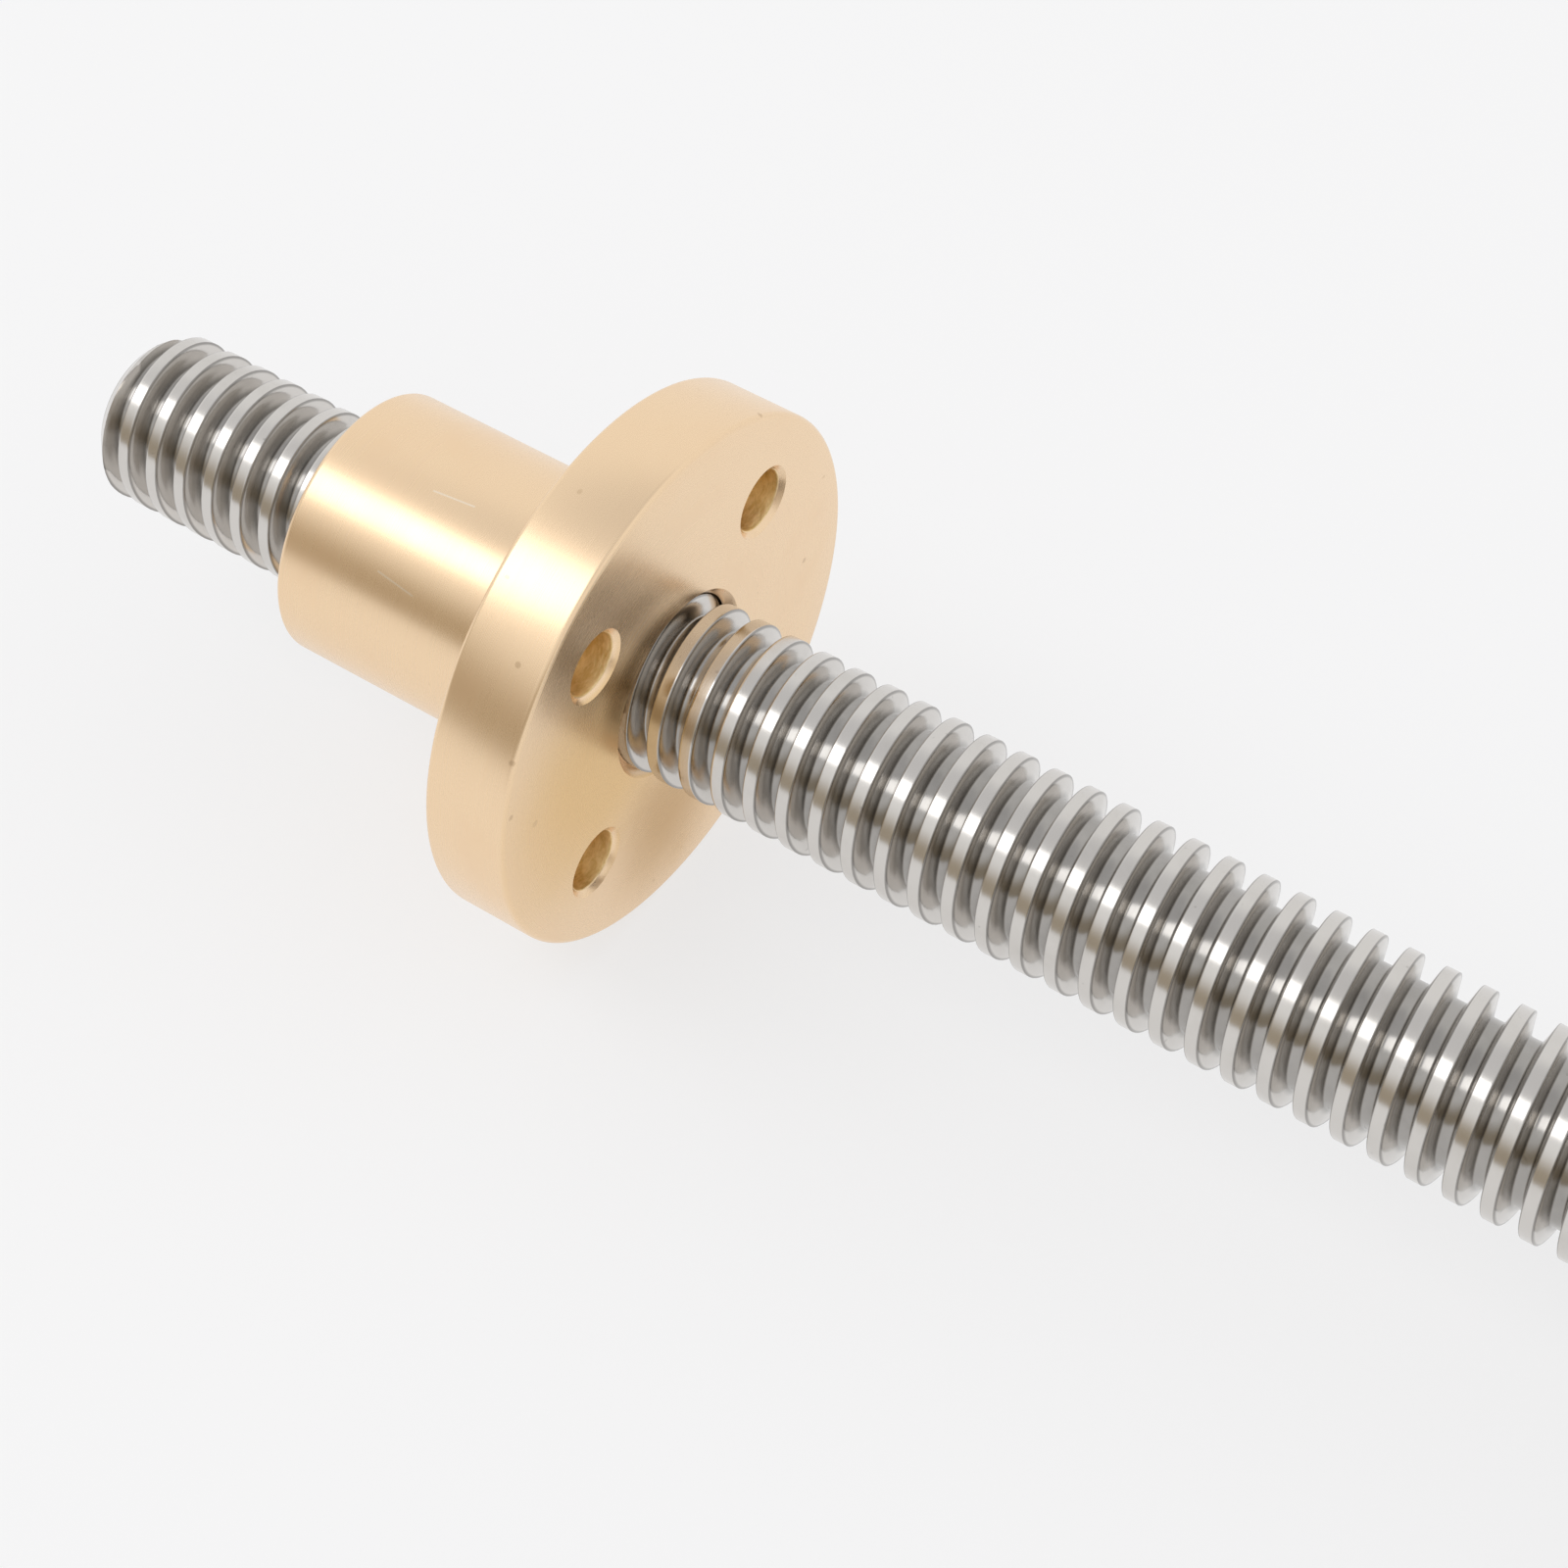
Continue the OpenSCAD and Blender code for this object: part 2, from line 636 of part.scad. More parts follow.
// The nut before its thread is cut, with its flange face at the origin.
module nut_blank(length) {
    flange_r = flange_d / 2;
    body_r = nut_body_d / 2;
    wide_r = nut_bore_r + bore_chamfer + THROUGH;
    e = nut_edge_r;
    difference() {
        at_x(0) rotate_extrude() polygon([
            [0, 0], [flange_r - e, 0], [flange_r, e], [flange_r, flange_t - e],
            [flange_r - e, flange_t], [body_r, flange_t], [body_r, length - e],
            [body_r - e, length], [0, length]]);
        at_x(0) rotate_extrude() polygon([
            [0, -THROUGH], [wide_r, -THROUGH], [nut_bore_r, bore_chamfer],
            [nut_bore_r, length - bore_chamfer], [wide_r, length + THROUGH],
            [0, length + THROUGH]]);
        for (k = [0 : hole_count - 1])
            rotate([k * 360 / hole_count, 0, 0]) at_x(0)
                translate([hole_circle_d / 2, 0, 0]) flange_hole();
    }
}

module flange_nut() color(BRASS) difference() {
    length = flange_t + nut_body_length;
    translate([nut_x, 0, 0]) rotate([45 + nut_turn, 0, 0]) nut_blank(length);
    thread(nut_x - THROUGH, nut_x + length + THROUGH, thread_clearance);
}

module flange_hole() {
    r = flange_hole_d / 2;
    c = hole_countersink;
    rotate_extrude() polygon([
        [0, -THROUGH], [r + c + THROUGH, -THROUGH], [r, c], [r, flange_t - c],
        [r + c + THROUGH, flange_t + THROUGH], [0, flange_t + THROUGH]]);
}

front_cap();
rear_cap();
stator_stack();
front_insulator();
rear_insulator();
phase_a_coils();
phase_b_coils();
terminal_board();
connector_housing();
connector_pins();
through_screws();
spring_washer();
front_bearing_outer();
front_bearing_shields();
front_bearing_inner();
front_bearing_balls();
front_bearing_cage();
rear_bearing_outer();
rear_bearing_shields();
rear_bearing_inner();
rear_bearing_balls();
rear_bearing_cage();
rotor_cup_front();
rotor_cup_rear();
rotor_magnet();
front_spacer();
rear_spacer();
screw_journal();
lead_screw();
flange_nut();
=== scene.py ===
"""A stepper motor with a lead screw and a flanged nut, dressed for its picture.

Every length is in metres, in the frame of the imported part: X runs along the screw from the
motor to the tip, +Z is up, and the origin is the middle of the motor's mounting face.
"""

import json
import math

import bmesh
import bpy
import numpy as np
from bpy.props import (FloatProperty, FloatVectorProperty, IntProperty, PointerProperty)
from mathutils import Matrix, Vector
from mathutils.bvhtree import BVHTree

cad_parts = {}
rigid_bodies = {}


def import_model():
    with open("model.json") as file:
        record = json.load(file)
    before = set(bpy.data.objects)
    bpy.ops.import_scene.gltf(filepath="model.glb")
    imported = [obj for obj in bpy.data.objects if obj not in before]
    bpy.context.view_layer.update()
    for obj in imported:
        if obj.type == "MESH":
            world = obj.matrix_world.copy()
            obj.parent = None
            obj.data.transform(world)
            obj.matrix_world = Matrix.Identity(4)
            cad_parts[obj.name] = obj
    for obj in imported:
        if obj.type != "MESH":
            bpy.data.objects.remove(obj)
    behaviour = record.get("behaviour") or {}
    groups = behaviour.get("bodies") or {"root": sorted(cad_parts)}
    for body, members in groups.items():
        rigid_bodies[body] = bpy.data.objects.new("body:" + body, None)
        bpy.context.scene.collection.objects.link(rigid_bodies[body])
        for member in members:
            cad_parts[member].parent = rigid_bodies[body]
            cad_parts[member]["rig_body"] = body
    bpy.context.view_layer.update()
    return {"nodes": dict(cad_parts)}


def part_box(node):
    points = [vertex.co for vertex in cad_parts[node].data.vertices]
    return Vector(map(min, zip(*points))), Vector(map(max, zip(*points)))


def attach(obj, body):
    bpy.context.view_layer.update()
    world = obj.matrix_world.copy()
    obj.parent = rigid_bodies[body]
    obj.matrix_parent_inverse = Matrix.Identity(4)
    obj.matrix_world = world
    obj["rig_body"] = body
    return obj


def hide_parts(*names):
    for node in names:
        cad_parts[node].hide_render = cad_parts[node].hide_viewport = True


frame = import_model()

bl_info = {
    "name": "Lead screw motor",
    "version": (1, 0, 0),
    "blender": (4, 5, 0),
    "location": "3D View > Sidebar > Lead screw",
    "description": "Dresses a motor with a lead screw and a flanged nut",
    "category": "Object",
}

MM = 0.001
TURN = 2 * math.pi
MERGE = 1e-7  # points nearer to each other than this are one point
SCREW_BOX, NUT_BOX, STACK_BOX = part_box("lead_screw"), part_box("flange_nut"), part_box("stator_stack")


# ---- Sizes and colours ----

def length(name, description, default):
    return FloatProperty(name=name, description=description, default=default,
                         unit="LENGTH", precision=5)


def colour(name, description, default):
    return FloatVectorProperty(name=name, description=description, default=default,
                               subtype="COLOR", size=3, min=0, max=1)


def number(name, description, default):
    return FloatProperty(name=name, description=description, default=default, precision=3)


class ScrewSizes(bpy.types.PropertyGroup):
    """Sizes and colours of the lead screw"""
    outer_radius: length("Outer radius", "From the axis to a crest", 6.35 * MM)
    depth: length("Thread depth", "From a crest to a root", 1.52 * MM)
    pitch: length("Pitch", "Distance between neighbouring crests", 2.54 * MM)
    starts: IntProperty(name="Starts", description="Threads side by side", default=1, min=1)
    phase: length("Phase", "Place of a crest along the screw on the +Y side", 1.3 * MM)
    tip_chamfer: length("Tip chamfer", "Chamfer at the tip", 1.3 * MM)
    crest_edge: length("Crest edge", "Rounding of a crest's edges", 0.06 * MM)
    root_edge: length("Root edge", "Rounding of a root's corners", 0.15 * MM)
    flank: FloatProperty(name="Flank", description="Half the angle between two flanks",
                         default=math.radians(14.5), subtype="ANGLE")
    sides: IntProperty(name="Sides", description="Points round the screw", default=64, min=12)
    steel: colour("Steel", "Bright rolled steel", (0.665, 0.64, 0.61))
    stain: colour("Stain", "Duller patches of the steel", (0.58, 0.555, 0.52))


class NutSizes(bpy.types.PropertyGroup):
    """Sizes and colours of the flanged nut"""
    flange_radius: length("Flange radius", "Outer radius of the flange", 19.65 * MM)
    flange_thickness: length("Flange thickness", "Along the screw", 6.3 * MM)
    body_radius: length("Body radius", "Outer radius of the body", 9.8 * MM)
    hole_circle: length("Hole circle", "Radius of the circle through the holes", 13.4 * MM)
    hole_radius: length("Hole radius", "Radius of a flange hole", 2.25 * MM)
    hole_count: IntProperty(name="Holes", description="Flange holes", default=4, min=3)
    turn: FloatProperty(name="Turn", description="Angle of the first hole about the screw",
                        default=math.radians(49), subtype="ANGLE")
    countersink: length("Countersink", "Of the flange holes", 0.4 * MM)
    edge: length("Edge", "Rounding of the outer edges", 0.43 * MM)
    bore_chamfer: length("Bore chamfer", "At both ends of the bore", 1.9 * MM)
    bore_radius: length("Bore radius", "Over the nut's own crests", 5.13 * MM)
    clearance: length("Thread clearance", "Between the two threads", 0.18 * MM)
    brass: colour("Brass", "Turned brass", (0.91, 0.685, 0.455))
    # Inside the flange holes: rough brass darkened with painted shade
    drilled_and_shaded: colour("Drilled", "Rough brass inside the flange holes", (0.72, 0.52, 0.23))


class MotorLooks(bpy.types.PropertyGroup):
    """Sizes and colours of the motor"""
    sheet: length("Sheet", "Thickness of one lamination", 0.5 * MM)
    sheet_gap: length("Sheet gap", "Groove between two laminations", 0.1 * MM)
    casting: colour("Casting", "Cast end caps", (0.60, 0.61, 0.62))
    black: colour("Black", "Painted laminations", (0.025, 0.025, 0.028))
    plastic: colour("Plastic", "Moulded connector and insulators", (0.80, 0.78, 0.70))


class StageLooks(bpy.types.PropertyGroup):
    """The camera, the floor, the lamp and the room"""
    aim: FloatVectorProperty(name="Aim", description="Point in the middle of the picture",
                             default=(0.114525, 0.0, -0.004838), size=3, subtype="XYZ",
                             unit="LENGTH", precision=5)
    azimuth: FloatProperty(name="Azimuth", description="Of the camera, 0 looks along +Y",
                           default=math.radians(213.98), subtype="ANGLE")
    elevation: FloatProperty(name="Elevation", description="Of the camera",
                             default=math.radians(51.057), subtype="ANGLE")
    distance: length("Distance", "From the camera to the aim", 0.22587)
    lens: number("Lens", "Focal length in millimetres on a 36 mm wide sensor", 76.96)
    floor: colour("Floor", "The white sheet under the part", (0.93, 0.93, 0.935))
    # Painted shade: the level sheet in front is darker, so that the metal mirrors shade low in front
    shaded_far_floor: colour("Far floor", "The sheet in front, where it falls away", (0.60, 0.60, 0.60))
    veil: number("Veil", "Share of the sheet that shows its own colour, unshaded", 0.70)
    nut_level: length("Floor under the nut", "Height of the floor under the flange", -19.68 * MM)
    motor_level: length("Floor under the motor", "Height of the floor under the motor",
                        -28.21 * MM)
    step_x: length("Step", "Where the floor steps down to the motor", 8.0 * MM)
    softbox: number("Softbox", "Radiance of the large lamp", 1.7)
    walls: colour("Walls", "The room all round", (0.93, 0.93, 0.93))
    ceiling: colour("Ceiling", "The room overhead", (0.72, 0.72, 0.73))
    front: colour("Front", "The dark room low in front", (0.42, 0.36, 0.275))


# ---- Materials ----

class Wire:
    """A socket of a material's nodes, on which Python's operators add Math nodes."""

    def __init__(self, finish, socket):
        self.finish, self.socket = finish, socket

    def math(self, operation, *others):
        return self.finish.node("ShaderNodeMath", {"operation": operation},
                                dict(enumerate((self, *others))))

    def __add__(self, other):
        return self.math("ADD", other)

    def __sub__(self, other):
        return self.math("SUBTRACT", other)

    def __mul__(self, other):
        return self.math("MULTIPLY", other)

    def __truediv__(self, other):
        return self.math("DIVIDE", other)

    def __pow__(self, other):
        return self.math("POWER", other)

    __radd__, __rmul__ = __add__, __mul__


class Finish:
    """A material and its node maker. point is the place in the part's frame."""

    def __init__(self, name, tree=None):
        if tree is None:
            self.material = bpy.data.materials.new(name)
            self.material.use_nodes = True
            tree = self.material.node_tree
            self.shader = tree.nodes["Principled BSDF"]
        self.tree = tree
        self.point = self.node("ShaderNodeTexCoord", output="Object")

    def node(self, kind, settings=None, sockets=None, output=0):
        """Adds a node: its settings first, then the values or links of its sockets."""
        made = self.tree.nodes.new(kind)
        for key, value in (settings or {}).items():
            setattr(made, key, value)
        for key, value in (sockets or {}).items():
            if isinstance(value, Wire):
                self.tree.links.new(value.socket, made.inputs[key])
            else:
                made.inputs[key].default_value = value
        return Wire(self, made.outputs[output])

    def part(self, vector, axis):
        return self.node("ShaderNodeSeparateXYZ", None, {0: vector}, axis)

    def noise(self, vector, scale, detail=2.0, roughness=0.5):
        return self.node("ShaderNodeTexNoise", None,
                         {"Vector": vector, "Scale": scale, "Detail": detail,
                          "Roughness": roughness}, "Fac")

    def band(self, value, low, high, start=0.0, end=1.0):
        """Runs smoothly from start to end as value goes from low to high."""
        return self.node("ShaderNodeMapRange", {"interpolation_type": "SMOOTHSTEP"},
                         {"Value": value, "From Min": low, "From Max": high,
                          "To Min": start, "To Max": end})

    def mix(self, factor, first, second):
        def rgba(c):
            return c if isinstance(c, Wire) else (*tuple(c)[:3], 1)
        return self.node("ShaderNodeMix", {"data_type": "RGBA"},
                         {0: factor, 6: rgba(first), 7: rgba(second)}, 2)

    def bump(self, height, distance, strength=1.0, below=None):
        sockets = {"Height": height, "Distance": distance, "Strength": strength}
        if below is not None:
            sockets["Normal"] = below
        return self.node("ShaderNodeBump", None, sockets, "Normal")

    def turned(self):
        """The place round the screw as x, radius and the angle from +Y towards +Z."""
        x, y, z = (self.part(self.point, axis) for axis in "XYZ")
        radius = (y * y + z * z) ** 0.5
        angle = z.math("ARCTAN2", y)
        return x, radius, angle

    def join(self, x, y, z):
        return self.node("ShaderNodeCombineXYZ", None, {0: x, 1: y, 2: z})

    def set(self, **sockets):
        """Sets the surface's sockets by name, such as Base_Color, to values or links."""
        for key, value in sockets.items():
            socket = self.shader.inputs[key.replace("_", " ")]
            if isinstance(value, Wire):
                self.tree.links.new(value.socket, socket)
            else:
                shade = isinstance(value, (tuple, list)) and len(value) == 3
                socket.default_value = (*value, 1) if shade else value
        return self.material


def brass_finish(nut, pits, scratches):
    """Turned brass: tool rings, faint tarnish, painted reflections on the face, scratches painted with
    their glint, rough drilled holes with painted shade inside.
    """
    f = Finish("turned_brass")
    shade = tuple(nut.brass)
    x, radius, angle = f.turned()
    rings = f.noise(f.join(x * 9000.0, radius * 9000.0, angle * 1.5), 1.0, 2.0)
    broad = f.noise(f.join(x * 900.0, radius * 900.0, angle * 0.8), 1.0, 3.0)
    cloud = f.noise(f.point, 140.0, 4.0, 0.6)
    grain = f.noise(f.point, 4500.0, 2.0)
    base = f.mix(f.band(cloud, 0.45, 0.8) * 0.25, shade, (0.86, 0.59, 0.36))
    base = f.mix(f.band(broad, 0.4, 0.7) * 0.12, base, (0.93, 0.72, 0.47))
    on_face = f.band(x, NUT_BOX[0].x + 0.05 * MM, NUT_BOX[0].x + 0.3 * MM, 1.0, 0.0)
    # Painted reflections on the face, browner where the brass mirrors dark things low in front: the
    # middle as y and z, the inner and outer reach, all in mm, the tone
    for y, z, inner, outer, reflection_tone in ((9, 0, 5, 16, (0.80, 0.53, 0.23)),
                                     (2, -12, 3, 11, (0.60, 0.38, 0.17))):
        patch = f.node("ShaderNodeVectorMath", {"operation": "DISTANCE"},
                       {0: f.point, 1: (NUT_BOX[0].x, y * MM, z * MM)}, "Value")
        # Painted reflection: the face browner inside each patch
        painted_reflection = f.band(patch + cloud * (4 * MM), inner * MM, outer * MM, 1.0, 0.0) * on_face
        base = f.mix(painted_reflection * 0.85, base, reflection_tone)
    fleck = f.band(f.noise(f.point, 900.0, 1.0), 0.78, 0.83)
    base = f.mix(fleck * 0.25, base, (0.45, 0.30, 0.15))
    marks = None
    for place, size in pits:
        far = f.node("ShaderNodeVectorMath", {"operation": "DISTANCE"},
                     {0: f.point, 1: place}, "Value")
        mark = f.band(far, size * 0.5, size, 1.0, 0.0)
        marks = mark if marks is None else marks.math("MAXIMUM", mark)
    base = f.mix(marks * 0.35, base, (0.35, 0.22, 0.11))
    lines = None
    for first, last, width in scratches:
        line = scratch_mask(f, first, last, width)
        lines = line if lines is None else lines.math("MAXIMUM", line)
    # The scratches are real marks, painted paler than the brass as a painted highlight for the glint
    # they catch
    base = f.mix(lines * 0.5, base, (1.0, 0.93, 0.80))
    share = TURN / nut.hole_count
    turned = angle - nut.turn
    nearest = turned - (turned / share).math("ROUND") * share
    side = radius * nearest.math("SINE")
    out = radius * nearest.math("COSINE") - nut.hole_circle
    ring = (side * side + out * out) ** 0.5
    # Painted shade inside the flange holes: their walls darker, with lighter tool chips; the walls are
    # also rougher and bumpier
    drilled_and_shaded = f.band(ring, nut.hole_radius + 0.03 * MM, nut.hole_radius + 0.10 * MM, 1.0, 0.0)
    chips = f.noise(f.join(x * 2600.0, side * 900.0, out * 900.0), 1.0, 3.0, 0.7)
    base = f.mix(drilled_and_shaded, base, f.mix(f.band(chips, 0.35, 0.65), tuple(nut.drilled_and_shaded),
                                      (0.92, 0.71, 0.40)))
    rough = 0.22 + cloud * 0.06 + rings * 0.05 + drilled_and_shaded * 0.20
    normal = f.bump(rings, 0.0022 * MM, 0.5)
    normal = f.bump(grain, 0.0015 * MM, 0.4, normal)
    normal = f.bump(chips * drilled_and_shaded, 0.05 * MM, 1.0, normal)
    return f.set(Base_Color=base, Metallic=1.0, Roughness=rough, Normal=normal)


def scratch_mask(f, first, last, width):
    """1 along the straight line from first to last, 0 away from it, thinner at its ends."""
    span = Vector(last) - Vector(first)
    away = f.node("ShaderNodeVectorMath", {"operation": "SUBTRACT"},
                  {0: f.point, 1: tuple(first)})
    share = f.node("ShaderNodeVectorMath", {"operation": "DOT_PRODUCT"},
                   {0: away, 1: tuple(span / span.length_squared)}, "Value")
    held = share.math("MINIMUM", 1.0).math("MAXIMUM", 0.0)
    foot = f.node("ShaderNodeVectorMath", {"operation": "SCALE"},
                  {0: tuple(span), "Scale": held})
    off = f.node("ShaderNodeVectorMath", {"operation": "DISTANCE"}, {0: away, 1: foot}, "Value")
    return f.band(off, width * 0.4, width, 1.0, 0.0)


def rolled_steel_finish(name, screw):
    """Rolled steel: shiny, with fine lines along the thread, dull patches, a painted dark reflection
    along the crests' edges and painted shade in the grooves.
    """
    f = Finish(name)
    steel, stain = tuple(screw.steel), tuple(screw.stain)
    x, radius, angle = f.turned()
    lines = f.noise(f.join(x * 7000.0, radius * 7000.0, angle * 2.0), 1.0, 2.0)
    cloud = f.noise(f.point, 260.0, 4.0, 0.6)
    base = f.mix(f.band(cloud, 0.45, 0.75) * 0.5, steel, stain)
    speck = f.band(f.noise(f.point, 1400.0, 1.0), 0.75, 0.80)
    base = f.mix(speck * 0.3, base, tuple(0.4 * c for c in stain))
    # Painted reflection: a dark line along each crest's edges, where the steel mirrors dark things
    turns = (x - screw.phase) / screw.pitch - angle * (screw.starts / TURN)
    off = (turns - turns.math("ROUND")).math("ABSOLUTE") * screw.pitch
    edge = screw.pitch / 4 * (1 - math.tan(screw.flank))
    line = f.band(off, edge - 0.09 * MM, edge - 0.03 * MM)
    line = line * f.band(radius, screw.outer_radius - 0.25 * MM, screw.outer_radius - 0.08 * MM)
    base = f.mix(line * 0.6, base, tuple(0.22 * c for c in stain))
    # Painted shade: the steel darker towards the root of the groove, where shade falls
    root = screw.outer_radius - screw.depth
    groove = f.band(radius, root + 0.05 * MM, root + 0.6 * MM, 1.0, 0.0)
    base = f.mix(groove * (0.45 + cloud * 0.4), base, tuple(0.4 * c for c in stain))
    rough = 0.12 + cloud * 0.08 + lines * 0.04
    normal = f.bump(lines, 0.003 * MM, 0.5)
    normal = f.bump(cloud, 0.012 * MM, 0.5, normal)
    return f.set(Base_Color=base, Metallic=1.0, Roughness=rough, Normal=normal)


def ground_steel_finish(name, shade, roughness):
    """Ground steel: fine rings round the screw's axis."""
    f = Finish(name)
    x, radius, angle = f.turned()
    rings = f.noise(f.join(x * 8000.0, radius * 8000.0, angle * 2.0), 1.0, 2.0)
    cloud = f.noise(f.point, 200.0, 3.0)
    base = f.mix(f.band(cloud, 0.4, 0.8) * 0.3, shade, tuple(0.7 * c for c in shade))
    return f.set(Base_Color=base, Metallic=1.0, Roughness=roughness + rings * 0.08,
                 Normal=f.bump(rings, 0.004 * MM, 0.5))


def cast_finish(name, shade):
    """Blasted aluminium casting: a fine pebbled skin with duller patches."""
    f = Finish(name)
    pebbles = f.noise(f.point, 2600.0, 3.0, 0.6)
    patch = f.noise(f.point, 90.0, 4.0, 0.6)
    base = f.mix(f.band(patch, 0.35, 0.8) * 0.35, shade, tuple(0.78 * c for c in shade))
    base = f.mix(f.band(pebbles, 0.5, 0.8) * 0.18, base, tuple(1.15 * c for c in shade))
    return f.set(Base_Color=base, Metallic=0.85, Roughness=0.42 + patch * 0.12,
                 Normal=f.bump(pebbles, 0.03 * MM, 0.6))


def painted_finish(name, shade, roughness=0.4):
    """Thin paint over sheet edges: slight orange peel, dust and worn places."""
    f = Finish(name)
    peel = f.noise(f.point, 1500.0, 2.0)
    dust = f.noise(f.point, 120.0, 5.0, 0.65)
    base = f.mix(f.band(dust, 0.5, 0.85) * 0.25, shade, tuple(min(1, c + 0.10) for c in shade))
    return f.set(Base_Color=base, Metallic=0.0, Roughness=roughness + dust * 0.15,
                 Normal=f.bump(peel, 0.02 * MM, 0.5))


def moulded_finish(name, shade, roughness=0.45):
    """Moulded plastic or board: a faint spark-eroded grain and slight clouding."""
    f = Finish(name)
    grain = f.noise(f.point, 3000.0, 2.0)
    cloud = f.noise(f.point, 150.0, 3.0)
    base = f.mix(f.band(cloud, 0.35, 0.8) * 0.2, shade, tuple(0.82 * c for c in shade))
    return f.set(Base_Color=base, Roughness=roughness + cloud * 0.1,
                 Normal=f.bump(grain, 0.01 * MM, 0.5))


def winding_finish(name, shade):
    """Enamelled wire: round turns side by side, with painted shade between the turns."""
    wire = 0.5 * MM
    f = Finish(name)
    radius = f.turned()[1]
    turns = (radius * (TURN / wire)).math("SINE") * 0.5 + 0.5
    cloud = f.noise(f.point, 300.0, 3.0)
    # Painted shade: darker between the turns, where the bump is lowest
    base = f.mix(turns, tuple(0.45 * c for c in shade), shade)
    base = f.mix(cloud * 0.3, base, tuple(0.7 * c for c in shade))
    return f.set(Base_Color=base, Metallic=0.8, Roughness=0.30 + cloud * 0.1,
                 Normal=f.bump(turns, 0.12 * MM, 0.8))


# ---- Surfaces ----

def new_piece(name, points, faces, material, body, replaces=(), sharp=30.0):
    """A closed mesh from arrays: doubles merged, normals outward, smooth below the sharp angle."""
    mesh = bpy.data.meshes.new(name)
    mesh.from_pydata(np.asarray(points).reshape(-1, 3).tolist(), [],
                     [list(face) for block in faces for face in np.asarray(block).tolist()])
    b = bmesh.new()
    b.from_mesh(mesh)
    bmesh.ops.remove_doubles(b, verts=b.verts, dist=MERGE)
    bmesh.ops.recalc_face_normals(b, faces=b.faces)
    b.to_mesh(mesh)
    b.free()
    mesh.polygons.foreach_set("use_smooth", [True] * len(mesh.polygons))
    mesh.set_sharp_from_angle(angle=math.radians(sharp))
    mesh.materials.append(material)
    made = bpy.data.objects.new(name, mesh)
    bpy.context.scene.collection.objects.link(made)
    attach(made, body)
    if replaces:
        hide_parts(*replaces)
    return made


def grid_faces(rows, columns, first=0, closed=False):
    """Quads between neighbouring rows and columns of a grid of points, as an array."""
    row, column = np.meshgrid(np.arange(rows - 1), np.arange(columns if closed else columns - 1),
                              indexing="ij")
    after = (column + 1) % columns
    corners = [row * columns + column, row * columns + after,
               (row + 1) * columns + after, (row + 1) * columns + column]
    return first + np.stack(corners, -1).reshape(-1, 4)


def round_axis(x, radius, angle):
    """Points at a place along the screw, a radius and an angle from +Y towards +Z."""
    x, radius, angle = np.broadcast_arrays(x, radius, angle)
    return np.stack([x, radius * np.cos(angle), radius * np.sin(angle)], -1)


def helical_wall(start, end, first_angle, sides, sizes, stations, radii, limit):
    """The surface of a thread between two planes.

    Each column stands at its angle round the screw, and its points climb by the lead in a
    turn: x = u + lead * angle / turn, held between start and end. The radius there is the
    thread's section, read at the distance from the nearest crest, then limited by a cone.
    Returns the points, the quads that have an area, and the two end loops.
    """
    lead = sizes.starts * sizes.pitch
    low = math.floor((start - lead * (first_angle / TURN + 1) - sizes.phase) / sizes.pitch) - 1
    high = math.ceil((end - lead * first_angle / TURN - sizes.phase) / sizes.pitch) + 1
    within = np.concatenate([-stations[:0:-1], stations[:-1]])
    u = (sizes.phase + sizes.pitch * np.arange(low, high)[:, None] + within).ravel()
    angle = first_angle + TURN * np.arange(sides + 1) / sides
    climb = lead * angle / TURN
    x = np.clip(u[:, None] + climb, start, end)
    along = x - climb - sizes.phase
    off = np.abs((along + sizes.pitch / 2) % sizes.pitch - sizes.pitch / 2)
    radius = limit(x, np.interp(off, stations, radii))
    quads = grid_faces(*x.shape)
    places = x.ravel()[quads]
    flat = (places == start).all(1) | (places == end).all(1)
    points = round_axis(x, radius, angle)
    return points.reshape(-1, 3), quads[~flat], points[0], points[-1]


def fan(loop, centre, first):
    """Triangles from each side of a loop of points to its centre point."""
    i = np.arange(len(loop) - 1)
    return (np.concatenate([loop, [centre]]),
            np.stack([first + i, first + i + 1, np.full(len(i), first + len(loop))], -1))


def revolved(x, radius, angles):
    """A section (x, radius) turned about the screw's axis through the given angles."""
    return round_axis(np.asarray(x)[:, None], np.asarray(radius)[:, None], angles[None, :])


def rounded_corner(x, radius, edge, towards_x, steps=5):
    """A quarter circle, as rows of x and radius, in place of an outer corner of a section."""
    t = np.linspace(0, math.pi / 2, steps + 1)
    places = np.stack([x + towards_x * edge * (1 - np.sin(t)),
                       radius - edge * (1 - np.cos(t))], -1)
    return places[np.argsort(places[:, 0])]


def drilled_face(inner, outer, nut, hole_edge, segments, spokes):
    """A flat ring with round holes.

    The ring is cut into one sector a hole. In each, every point of the sector's outline is
    joined to the hole by a straight line: point = hole's edge + share * (outline - edge).
    """
    half = math.pi / nut.hole_count
    arc = np.linspace(-half, half, segments // nut.hole_count + 1)
    side = np.linspace(inner, outer, spokes + 1)
    radius = np.concatenate([np.full(len(arc) - 1, inner), side[:-1],
                             np.full(len(arc) - 1, outer), side[:0:-1]])
    angle = np.concatenate([arc[:-1], np.full(spokes, half), arc[:0:-1], np.full(spokes, -half)])
    outline = np.stack([radius * np.cos(angle), radius * np.sin(angle)], -1)
    centre = np.array([nut.hole_circle, 0.0])
    ray = outline - centre
    ray /= np.linalg.norm(ray, axis=1)[:, None]
    edge = centre + hole_edge * ray
    share = np.array([0, 0.04, 0.12, 0.3, 0.6, 1.0])[:, None, None]
    flat = edge + share * (outline - edge)
    return flat, ray, centre


